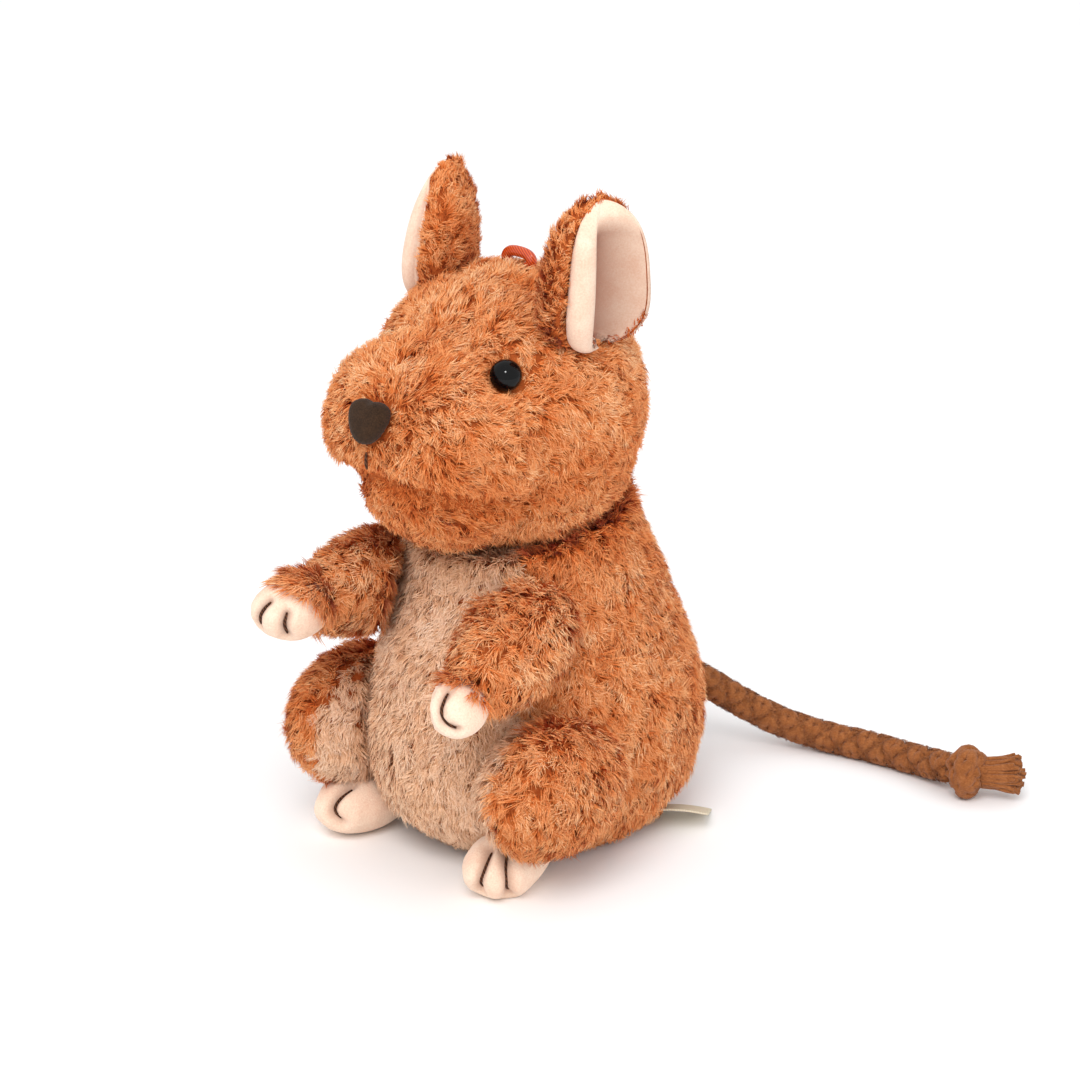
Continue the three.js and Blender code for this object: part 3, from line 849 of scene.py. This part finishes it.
# ---------------------------------------------------------------- head
HEAD_NODES = ["head_panel_left", "head_panel_right", "chin_panel"]
BODY_NODES = ["belly_panel", "body_panel_left", "body_panel_right", "base_panel"]
MOUTH_CREASE = [mm(*p) for p in ((-16.5, -23.4, 74.2), (-12.7, -29.5, 75.2), (-8.6, -32.8, 76.6),
                                 (-4.5, -34.8, 77.9), (0, -35.4, 78), (4.5, -35, 77.9), (8.6, -32.8, 76.5),
                                 (12.7, -29.5, 75.2), (16.5, -23.4, 74.2), (17.8, -14.2, 73.6))]
LIPS = MOUTH_CREASE[1:9]      # the crease's deep part
EAR_CREASES = [[mm(x * sign, y, z) for x, y, z in (
    (4, -7, 109.2), (8, -3.8, 108.8), (13, -1.2, 106.6), (18, -1.6, 102.6), (21.2, -0.5, 98.8))]
    for sign in (1, -1)]
BEAD_FLAT = 0.8        # how deep a bead is against its radius
EYE_SUNK = {"left": mm(0.8), "right": mm(2.7)}      # how far a bead is drawn into the pile
BEAD_SHARE = 0.95      # a bead's radius as a share of its CAD node's


def neck_test(tree, near, far):
    """keep() for the pile of the neck: places between these distances from the part across the neck."""
    return lambda points: clear_of(tree, points, near) & ~clear_of(tree, points, far)


def bead_of(side):
    """A bead eye's middle and the way it looks, from its washer behind the cloth."""
    eye = frame["nodes"][f"eye_{side}"].data
    washer = Vector(points_of(frame["nodes"][f"eye_washer_{side}"].data).mean(0))
    points = points_of(eye)
    way = (Vector(points.mean(0)) - washer).normalized()
    along = (points - np.array(washer)) @ np.array(way)
    front = along.max()
    off = np.linalg.norm(points - np.array(washer) - along[:, None] * np.array(way), axis=1)
    radius = float(off.max()) * BEAD_SHARE
    return washer + way * (front - radius * BEAD_FLAT - EYE_SUNK[side]), way, radius


def make_head():
    head = Form(HEAD_NODES, 6, inset=mm(1.2), relax=8)
    beads = [bead_of(side) for side in SIDES]
    for middle, way, radius in beads:
        head.dent(middle - way * radius, mm(4.4), mm(0.9))
    head.groove(MOUTH_CREASE, mm(3.2), mm(1.1))
    head.groove(LIPS, mm(2.2), mm(2.8))
    for crease in EAR_CREASES:
        head.groove(crease, mm(1.8), mm(1.5))
    torso = cad_tree(*BODY_NODES)
    head.push(mm(1.7) * hump(gap_to(torso, head.points), mm(6)))
    head.skin("head_skin", "head", 0.85)
    nose = box_centre("nose_pad")
    ears = cad_tree("ear_back_left", "ear_back_right")
    linings = cad_tree("ear_lining_left", "ear_lining_right")

    def comb(points):
        return unit(points - nose) + np.array([0, 0, -0.7])

    def length(points):
        by_bead = np.min([distance_to(middle, points) for middle, _, _ in beads], axis=0)
        return (short_by(by_bead, 2, 5.5, 0.3) * short_by(distance_to(nose, points), 0, 8, 0.62)
                * short_by(gap_to(linings, points), 0.5, 4.5, 0.22)
                * short_by(distance_to_line(points, LIPS), 0.8, 5.5, 0.2))

    # Painted shade: dark pile in the mouth crease and the creases by the ears, darker towards the chin and
    # round the ears' bases; elsewhere a little lighter.
    def painted_light_and_shade(points):
        creases = 4.2 * hump(distance_to_line(points, LIPS), mm(2.9))
        for crease in EAR_CREASES:
            creases += 2.2 * hump(distance_to_line(points, crease), mm(1.6))
        low = np.clip((mm(92) - points[:, 2]) / mm(12), 0, 1)
        return 0.35 - 0.85 * low - creases - 1.3 * hump(gap_to(ears, points), mm(2.4))

    def shown(points):
        bare = distance_to(nose + np.array([0, mm(1.5), 0]), points) <= mm(3.4)
        bare |= distance_to_line(points, LIPS) < mm(0.5)
        for middle, way, radius in beads:
            bare |= distance_to(middle - way * radius * 0.5, points) <= radius * 0.95
        return ~bare & clear_of(torso, points, mm(0.8))

    for i, node in enumerate(HEAD_NODES):
        keep = passing(shown, owner_test(HEAD_NODES, node))
        grow(node.replace("panel", "pile"), head, FUR, "fur", "head", comb, keep, 40 + i, length, painted_light_and_shade)
    grow("chin_ruff", head, NECK_FUR, "fur", "head", comb, neck_test(torso, mm(0.8), mm(8)), 47)


def make_eyes():
    for side in SIDES:
        middle, way, radius = bead_of(side)
        ball = bmesh.new()
        bmesh.ops.create_uvsphere(ball, u_segments=40, v_segments=24, radius=radius)
        turn = way.to_track_quat("Z", "Y").to_matrix().to_4x4()
        shape = Matrix.Translation(middle) @ turn @ Matrix.Diagonal((1, 1, BEAD_FLAT, 1))
        bmesh.ops.transform(ball, matrix=shape, verts=ball.verts)
        mesh = bpy.data.meshes.new(f"eye_bead_{side}")
        ball.to_mesh(mesh)
        ball.free()
        bead = dress(f"eye_bead_{side}", mesh, [PAINTS["eye"]], "head")
        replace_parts(bead, f"eye_{side}")


class Patch:
    """Part of a surface, as points and triangles that a pile can grow from."""

    def __init__(self, points, faces):
        self.points, self.faces = np.array(points), np.array(faces)


class Soft(Form):
    """A form that is a softly rounded copy of a CAD node, for shapes that a ball can't be drawn in to."""

    def __init__(self, node, voxel, smooth):
        self.nodes = [node]
        rough = bpy.data.objects.new("rough", frame["nodes"][node].data)
        bpy.context.scene.collection.objects.link(rough)
        remesh = rough.modifiers.new("remesh", "REMESH")
        remesh.mode, remesh.voxel_size = "VOXEL", voxel
        soft = rough.modifiers.new("smooth", "SMOOTH")
        soft.factor, soft.iterations = 0.5, smooth
        made = bpy.data.meshes.new_from_object(rough.evaluated_get(bpy.context.evaluated_depsgraph_get()))
        self.points, self.faces = points_of(made), triangles_of(made)
        bpy.data.objects.remove(rough)


def make_mouth():
    """The short stitch under the nose, drawn as a line through its CAD points from top to bottom."""
    points = points_of(frame["nodes"]["mouth_stitch"].data)
    levels = np.linspace(points[:, 2].max(), points[:, 2].min(), 7)
    near = [points[np.abs(points[:, 2] - z) < mm(1)].mean(0) for z in levels]
    make_thread("mouth_thread", "mouth_stitch", "head", smooth_line(near, 20))


def make_nose():
    nose = Soft("nose_pad", mm(0.3), 10)
    away = np.linalg.norm((nose.points - nose.points.mean(0)) * np.array([1, 0.2, 1]), axis=1)
    nose.push(mm(0.6) * (1 - (away / away.max()) ** 2) - mm(0.15))
    stuffed_piece("suede_nose", nose.points, nose.faces, "nose", "head", "nose_suede", nose.nodes)


# ---------------------------------------------------------------- ears
EAR = {"at": (17.6, 2.4, 99.6), "wide": 8.5, "turn": 60}     # mm and degrees, as in the part
EAR_HIGH = {"left": 29, "right": 26.4}
EAR_LEAN = {"left": (11, 9), "right": (-4, -2)}      # outward and nodding lean, in degrees
# Half a section through the middle of an ear, from its front edge round to its rear edge: across as a share
# of the half width, and forward in mm. The front edge rolls over; a deep fold lies behind the roll.
PROFILES = {
    "left": (((-0.78, -5.6), (-0.88, -7.4), (-0.8, -9.0), (-0.58, -9.5), (-0.36, -8.6), (-0.24, -5.8),
              (-0.15, -3.4), (0.06, -2.2), (0.4, -2.4), (0.74, -3.5), (1.0, -5.2)),
             ((-0.8, -5.5), (-0.98, -6.8), (-1.16, -5.6), (-1.2, -2.6), (-0.98, 0.2), (-0.5, 1.6),
              (0.05, 1.6), (0.5, 0.6), (0.76, -1.4), (0.9, -3.9), (0.94, -5.0))),
    "right": (((-1.06, -3.2), (-1.12, -4.8), (-1.0, -6.2), (-0.76, -6.2), (-0.58, -4.6), (-0.48, -2.4),
               (-0.34, -0.8), (-0.1, 0.0), (0.3, -0.3), (0.68, -1.6), (1.0, -3.6)),
              ((-1.06, -3.0), (-1.22, -1.6), (-1.24, 0.8), (-1.05, 3.2), (-0.55, 4.6), (0.05, 4.8),
               (0.5, 3.8), (0.82, 1.4), (0.95, -1.8), (0.95, -3.4))),
}
EAR_ROWS, EAR_COLUMNS = 44, 40
TIP_CURL = {"lining": 0.8, "back": 0.2}      # how far the tip fills in towards the roll's front
# How much painted shade the lining gets, from the front edge to the rear one: painted shade, deepest in the
# fold behind the roll; its least, about a tenth, stands for the lining's own pinker colour.
FOLD_SHADE = np.interp(np.linspace(0, 1, EAR_COLUMNS), (0.24, 0.33, 0.44, 0.54, 0.66, 0.82, 0.97),
                       (0.1, 0.26, 1, 0.98, 0.72, 0.48, 0.22))


def ear_place(side):
    """Turns an ear's own millimetres (across, forward, up) into the row frame, for many points."""
    sign = SIDES[side]
    out, nod = EAR_LEAN[side]
    turn = Matrix.Translation(mm(EAR["at"][0] * sign, *EAR["at"][1:]))
    for angle, axis in ((nod, "X"), (out * sign, "Y"), (EAR["turn"] * sign, "Z")):
        turn = turn @ Matrix.Rotation(math.radians(angle), 4, axis)
    turn = np.array(turn)

    def place(points):
        local = np.array(points) * MM
        local[:, 0] *= sign
        return local @ turn[:3, :3].T + turn[:3, 3]

    return place


def ear_section(profile, height, high, curl):
    """One level of an ear: a smooth curve through a profile, narrowed towards the tip and the base."""
    curve = smooth_line([(x * EAR["wide"], y, 0) for x, y in profile], EAR_COLUMNS)
    round_off = math.sqrt(max(0.0, 1 - abs(2 * height - 1) ** 3.2))
    roll = 0.35 + 0.65 * math.sin(math.pi * (0.22 + 0.62 * height)) ** 0.8
    across = curve[:, 0] * round_off * (1.14 - 0.28 * height)
    fill = curl * min(max((height - 0.72) / 0.2, 0), 1) ** 2
    forward = curve[:, 1] + fill * (-6.5 - curve[:, 1])
    forward = forward * roll * (0.35 + 0.65 * round_off) * (1.15 - 0.35 * height)
    return np.stack([across, forward, np.full(EAR_COLUMNS, height * high)], axis=1)


def ear_shell(front, back, high, back_curl):
    """A closed shell between two profiles: points, and faces of its front, its back and its closed ends."""
    levels = (1 - np.cos(np.linspace(0.16, math.pi - 0.02, EAR_ROWS))) / 2
    points = np.concatenate([section for h in levels for section in (
        ear_section(front, h, high, TIP_CURL["lining"]), ear_section(back, h, high, back_curl)[::-1])])
    ring = 2 * EAR_COLUMNS
    quads = ring_faces(EAR_ROWS, ring)
    fronts = [q for q in quads if q[0] % ring < EAR_COLUMNS - 1]
    backs = [q for q in quads if q[0] % ring >= EAR_COLUMNS - 1]
    return points, fronts, backs, ring_ends(EAR_ROWS, ring)


def make_ears():
    head = cad_tree("head_panel_left", "head_panel_right")
    for side, sign in SIDES.items():
        place = ear_place(side)
        turn = (lambda faces: faces) if sign > 0 else flipped      # a mirrored ear's faces are turned over
        lining, furry = PROFILES[side]
        high, body = EAR_HIGH[side], f"ear_{side}"
        inner = [(x * 0.97, y + 0.9) for x, y in lining]
        points, fronts, backs, ends = ear_shell(lining, inner, high, TIP_CURL["lining"])
        # The lining's painted shade: FOLD_SHADE along each row of its front, none on its back, fading out
        # towards the ear's top.
        depth = np.tile(np.concatenate([FOLD_SHADE, np.zeros(EAR_COLUMNS)]), EAR_ROWS)
        depth = depth * np.clip(7.2 - 8 * points[:, 2] / high, 0, 1)
        points = kept_off(place(points), head, mm(0.5))
        piece = stuffed_piece(f"ear_velour_{side}", points, turn(fronts + backs + ends), "velour", body,
                              "velour", [f"ear_lining_{side}"])
        paint_shade_in_folds(piece, depth)
        cloth = tree_of(points, fronts)

        under = [(x * 0.96, y + 1.1) for x, y in lining]
        points, fronts, backs, ends = ear_shell(under, furry, high, TIP_CURL["back"])
        points = kept_off(place(points), head, mm(0.5))
        stuffed_piece(f"ear_skin_{side}", points, turn(fronts + backs + ends), "fur_backing", body, "fur",
                      [f"ear_back_{side}"])
        tip = place([(0, 0, high * 1.6)])[0]
        middle, rear = place([(0, 0, high / 2), (1, 0, high / 2)])

        def comb(points, tip=tip):
            return unit(tip - points) * 0.8 + np.array([0, 0.5, 0.2])

        # Painted shade: the pile darker towards the ear's base, by the head.
        def painted_light_and_shade(points):
            return np.clip((points[:, 2] - mm(107)) / mm(6), -1, 0)

        def length(points, cloth=cloth):
            return np.clip(0.45 + (gap_to(cloth, points) - mm(0.6)) / mm(3), 0.45, 1)

        def off_rim(points, cloth=cloth, middle=middle, rearward=unit(rear - middle)):
            """All but the rear edge, where the lining shows from behind it."""
            behind = (points - middle) @ rearward > mm(3)
            return clear_of(cloth, points, mm(1.1)) | ~behind | (points[:, 2] < mm(106))

        outside = Patch(points, turn(halves(backs)))
        grow(f"ear_pile_{side}", outside, EAR_FUR, "fur", body, comb, off_rim, 60 + sign, length, painted_light_and_shade)


LOOP_SWELL, LOOP_SUNK = mm(0.25), mm(1.7)      # thicker than its CAD node, and deeper in the pile


def make_loop():
    """The short satin hanging loop on the crown."""
    loop = Soft("hanging_loop", mm(0.16), 3)
    loop.push(np.full(len(loop.points), LOOP_SWELL))
    loop.points[:, 2] -= LOOP_SUNK
    piece = new_piece("satin_loop", loop.points, loop.faces, "loop", "loop", "loop_satin")
    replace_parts(piece, "hanging_loop")


# ---------------------------------------------------------------- body
down = towards(0, 0, -1)


def make_body():
    body = Form(BODY_NODES, 6, inset=mm(1.2), relax=8)
    head = cad_tree(*HEAD_NODES)
    body.push(mm(1.2) * hump(gap_to(head, body.points), mm(5)))
    body.points[:, 2] = np.maximum(body.points[:, 2], mm(0.5))
    body.skin("body_skin", "torso", 0.8)
    middle = box_centre("body_stuffing")

    def comb(points):
        return down(points) + 0.35 * unit((points - middle) * np.array([1, 1, 0]))

    # Painted shade: the pile darker under the head.
    def painted_light_and_shade(points):
        return -1.5 * hump(gap_to(head, points), mm(7))

    def shown(points):
        return clear_of(head, points, mm(0.8)) & (points[:, 2] > mm(1.6))

    in_belly = owner_test(BODY_NODES, "belly_panel")

    def shoulder(points, sign=0):
        """The belly panel's corners beside the arms, where the back's pile covers it."""
        corner = (np.abs(points[:, 0]) > mm(13.5)) & (points[:, 2] > mm(50))
        return in_belly(points) & corner & (points[:, 0] * sign >= 0)

    for i, (node, sign) in enumerate(zip(BODY_NODES[:3], (0, 1, -1))):
        owned = owner_test(BODY_NODES, node)

        def nearest(points, owned=owned, sign=sign):
            return owned(points) | shoulder(points, sign) if sign else owned(points) & ~shoulder(points)

        keep = passing(nearest, shown)
        keep_neck = passing(nearest, neck_test(head, mm(0.8), mm(7)))
        kind, style = ("fur", FUR) if sign else ("belly_fur", BELLY_FUR)
        grow(node.replace("panel", "pile"), body, style, kind, "torso", comb, keep, 80 + i, 1, painted_light_and_shade)
        grow(node.replace("panel", "ruff"), body, NECK_FUR, kind, "torso", comb, keep_neck, 90 + i, 1, painted_light_and_shade)


# ---------------------------------------------------------------- limbs
# Where the stitches that part the fingers and toes run, in the design's millimetres.
STITCHES = {
    "finger_stitch_left_1": ((19, -37.8, 45.2), (19.1, -39.7, 43), (19.7, -40.2, 41), (21, -39.6, 39.7),
                             (22, -38.5, 39)),
    "finger_stitch_left_2": ((15.8, -37.9, 43.8), (15.6, -38.5, 41.7), (16.9, -39.6, 40.2)),
    "finger_stitch_right_1": ((-18.9, -42.7, 53.6), (-20.4, -43.4, 51.2), (-21.2, -43.2, 48.8)),
    "finger_stitch_right_2": ((-15.3, -42.3, 52.1), (-15.9, -42.5, 49.5), (-16.6, -41.1, 47)),
    "toe_stitch_left_1": ((17.4, -24.9, 10), (18.6, -28, 8.2), (18.7, -29.7, 5), (18.3, -30, 2),
                          (18, -29, 0.5)),
    "toe_stitch_left_2": ((20, -23.1, 10.2), (22.1, -25.6, 7.9), (22.9, -26, 4.5), (22.3, -25.4, 1.4),
                          (22, -24.6, 0.4)),
    "toe_stitch_right_1": ((-26.3, -19.7, 9.2), (-26.7, -22.5, 7.9), (-26.3, -24.9, 5.9)),
    "toe_stitch_right_2": ((-19.8, -21.8, 10.2), (-20.3, -24.6, 9.2), (-20.3, -26.5, 7.8),
                           (-19.7, -27.4, 6.1), (-18.3, -26.8, 4.5)),
}
OFF_TABLE = mm(0.3)      # what a thread or the tag keeps off the table
PAW_SWELL = {"left": mm(-0.8), "right": mm(0)}
# Which side of a paw or foot is stretched: a way, how far out it starts from the middle, and by how much.
AS_IT_IS = ((0, 0, 0), 1, 0)
PAW_REACH = {"left": AS_IT_IS, "right": ((-0.76, -0.65, 0), mm(5), mm(2.4))}
FOOT_REACH = {"left": ((0.76, 0.65, 0), mm(7), -mm(2)), "right": AS_IT_IS}
# Which way the sleeve's pile hangs over a paw, and where it starts along that way from the paw's middle.
CUFFS = {"left": ((0, -0.7, -0.7), -mm(3)), "right": ((-0.2, -0.6, -0.77), -mm(2.8))}


def make_cuff(side, way):
    """The sleeve's pile where it hangs over the near side of the paw."""
    paw = Form([f"paw_{side}"], 5, inset=mm(0.2) - PAW_SWELL[side])
    middle = box_centre(f"paw_{side}")
    over, start = CUFFS[side]

    def near_side(points):
        return (points - middle) @ np.array(over) < start

    comb = towards(*(np.array(over) + way))
    grow(f"cuff_pile_{side}", paw, CUFF_FUR, "fur", f"arm_{side}", comb, near_side, 140 + SIDES[side])


def make_thread(name, node, body, line):
    """A stitch along a line, thinner where its ends go into the cloth."""
    radius = mm(0.3) * np.sin(np.linspace(0.25, math.pi - 0.25, len(line))) ** 0.4
    piece = new_piece(name, *tube(line, radius, 8), "thread", body, "thread")
    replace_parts(piece, node)


def make_velour(limb, digit, side, body, swell, depth, reach, cuff=None):
    """A stuffed velour paw or foot, drawn in along its stitches, which lie in the folds.

    Painted shade darkens the cloth in the folds along the stitches and where a cuff's pile hangs over it."""
    node = f"{limb}_{side}"
    form = Form([node], 5, relax=6)
    way, start, amount = reach
    far = np.clip((form.points - box_centre(node)) @ np.array(way) / start, 0, 1)
    form.points += np.array(way) * (amount * far)[:, None]
    tree = tree_of(form.points, form.faces)
    laid = {}
    for stitch in (f"{digit}_stitch_{side}_{i}" for i in (1, 2)):
        drawn = smooth_line([mm(*p) for p in STITCHES[stitch]], 24)
        found = np.array([tree.find_nearest(Vector(p))[:2] for p in drawn])
        for _ in range(6):
            found[1:-1] = (found[:-2] + 2 * found[1:-1] + found[2:]) / 4
        laid[stitch] = found[:, 0], unit(found[:, 1])
    away = np.min([distance_to_line(form.points, line) for line, _ in laid.values()], axis=0)
    form.push(swell + depth * (0.25 * hump(away, mm(3.4)) - hump(away, mm(1.2))))
    form.points[:, 2] = np.maximum(form.points[:, 2], 0)
    form.relax(1)
    # Painted shade: darker in the folds along the stitches, and dark under the cuff's pile, where the sleeve
    # shades the paw.
    folds = 0.6 * hump(away, mm(0.9))
    if cuff:
        over, start = cuff
        along = (form.points - box_centre(node)) @ np.array(over)
        folds = np.maximum(folds, np.clip((start - along) / mm(0.8), 0, 1))
    piece = stuffed_piece(f"velour_{node}", form.points, form.faces, "velour", body, "velour", [node])
    paint_shade_in_folds(piece, folds)
    for stitch, (line, normal) in laid.items():
        sunk = line + normal * (swell - 0.75 * depth + mm(0.25))
        sunk[:, 2] = np.maximum(sunk[:, 2], OFF_TABLE)
        make_thread(stitch.replace("stitch", "thread"), stitch, body, sunk)


def make_arms():
    for side, sign in SIDES.items():
        body = f"arm_{side}"
        sleeve = Form([f"sleeve_{side}"], 5, inset=mm(1.0), relax=8)
        sleeve.skin(f"sleeve_skin_{side}", body, 0.7)
        paw = box_centre(f"paw_{side}")
        way = unit(paw - box_centre(f"sleeve_{side}"))

        def cuff(points, paw=paw, way=way):
            """Longer towards the paw."""
            return 1 + 0.5 * np.clip(((points - paw) @ way + mm(9)) / mm(5), 0, 1)

        comb = towards(*(way + np.array([0, 0, -0.3])))
        # The sleeve's pile is lightened by 0.6 as painted light.
        grow(f"sleeve_pile_{side}", sleeve, FUR, "fur", body, comb, everywhere, 100 + sign, cuff, 0.6)
        make_cuff(side, way)
        make_velour("paw", "finger", side, body, PAW_SWELL[side], mm(1.3), PAW_REACH[side], CUFFS[side])


def thigh_nodes(side):
    return [f"thigh_cover_{side}", f"leg_panel_{side}"]


def make_legs():
    for side, sign in SIDES.items():
        nodes = thigh_nodes(side)
        thigh = Form(nodes, 5, inset=mm(1.0), relax=8)
        thigh.skin(f"thigh_skin_{side}", "torso", 0.75)
        for i, (node, kind, style) in enumerate(zip(nodes, ("fur", "belly_fur"), (FUR, BELLY_FUR))):
            comb, keep = towards(0, -0.45, -1), owner_test(nodes, node)
            grow(node + "_pile", thigh, style, kind, "torso", comb, keep, 120 + 2 * sign + i)
        make_velour("foot", "toe", side, "torso", mm(0), mm(2.3), FOOT_REACH[side])


# ---------------------------------------------------------------- inside
def make_insides():
    make_wadding("head", HEAD_NODES, "head", mm(4.2), "head_skin")
    make_wadding("body", BODY_NODES, "torso", mm(4), "body_skin")
    make_wadding("neck", ["neck_stuffing"], "neck", mm(0.6))
    ball = Form(["neck_stuffing"], 4, inset=mm(0.3))

    def collar(points):
        return (points[:, 2] > mm(57)) & (points[:, 2] < mm(64.5))

    # The neck's pile is darkened by 1.5 as painted shade under the chin.
    grow("neck_ruff", ball, dict(NECK_FUR, length=3.4), "belly_fur", "neck", down, collar, 170, 1, -1.5)
    for side in SIDES:
        make_wadding("arm", [f"sleeve_{side}"], f"arm_{side}", mm(3), f"sleeve_skin_{side}", f"_{side}")
        make_wadding("thigh", thigh_nodes(side), "torso", mm(3), f"thigh_skin_{side}", f"_{side}")
        washer = frame["nodes"][f"eye_washer_{side}"].data.materials
        washer.clear()
        washer.append(PAINTS["washer"])
    pouch = Soft("bean_pouch", mm(0.6), 8)
    pouch.push(mm(0.35) * np.abs(smooth_noise(pouch.points, mm(2), 9)) - mm(0.4))
    stuffed_piece("bean_sack", pouch.points, pouch.faces, "pouch", "torso", "pouch_cloth", pouch.nodes)
    low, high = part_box("neck_seam_thread")
    middle, radius = (low + high) / 2, (high - low).x / 2 - mm(0.3)
    turn = np.linspace(0, 2 * math.pi, 73)[:, None]
    ring = np.array(middle) + radius * (np.cos(turn) * [1, 0, 0] + np.sin(turn) * [0, 1, 0])
    make_thread("neck_seam", "neck_seam_thread", "head", ring)


# ---------------------------------------------------------------- care tag
TAG = {"wide": mm(11), "long": mm(10), "thick": mm(0.35), "tucked": mm(2), "tilt": 20, "lift": mm(0.3),
       "aside": np.array([mm(3.6), -mm(4.3), 0])}


def make_tag():
    """A slip of woven tape that sticks out of the seat seam, a little curled, with its far edge down."""
    joint = next(j for j in frame["joints"] if j["name"] == "tag_flap")
    base, hinge = np.array(joint["pos_m"]), unit(np.array(joint["axis"]))
    out = np.cross(hinge, [0, 0, 1.0])
    out *= np.sign(out @ (box_centre("care_tag") - base))
    tilt = math.radians(TAG["tilt"])
    across = hinge * math.cos(tilt) + np.array([0, 0, math.sin(tilt)])
    rows, columns = 14, 12
    points = []
    for far in np.linspace(0, 1, rows):
        place = base + TAG["aside"] + out * (far * TAG["long"] - TAG["tucked"])
        high = TAG["lift"] + mm(0.4) * math.sin(3 * far) - mm(0.5) * far
        for layer, order in ((-0.5, 1), (0.5, -1)):
            for share in np.linspace(-0.5, 0.5, columns)[::order]:
                up = np.array([0, 0, high + TAG["thick"] * layer])
                points.append(place + across * share * TAG["wide"] + up)
    points = np.array(points)
    points[:, 2] += OFF_TABLE - min(points[:, 2].min(), OFF_TABLE)
    ring = 2 * columns
    faces = flipped(ring_faces(rows, ring) + ring_ends(rows, ring))
    tag = new_piece("woven_tag", points, faces, "tag", "tag", "tag_cloth")
    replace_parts(tag, "care_tag")


# ---------------------------------------------------------------- room
def area_light(name, azimuth, elevation, size, power, distance=1.6):
    data = bpy.data.lights.new(name, "AREA")
    data.shape, data.size, data.energy = "DISK", size, power
    return aimed(name, data, azimuth, elevation, distance)


def make_room():
    half = 4.0
    corners = [(-half, -half, 0), (half, -half, 0), (half, half, 0), (-half, half, 0)]
    floor = bpy.data.meshes.new("floor")
    floor.from_pydata(corners, [], [(0, 1, 2, 3)])
    floor.materials.append(PAINTS["floor"])
    ground = bpy.data.objects.new("floor", floor)
    bpy.context.scene.collection.objects.link(ground)
    world = bpy.data.worlds.new("room")
    bpy.context.scene.world = world
    world.use_nodes = True
    sky = world.node_tree.nodes["Background"].inputs
    sky["Color"].default_value, sky["Strength"].default_value = (1, 1, 1, 1), 0.9
    area_light("key", 28, 48, 1.0, 13).visible_glossy = False
    area_light("fill", 95, 30, 1.0, 3.4).visible_glossy = False
    area_light("glint", 38, 46, 0.24, 6).visible_diffuse = False
    bpy.context.scene.view_settings.view_transform = "Standard"


for make in (make_camera, make_tail, make_head, make_eyes, make_nose, make_mouth, make_ears, make_loop,
             make_body, make_arms, make_legs, make_insides, make_tag, make_room):
    make()
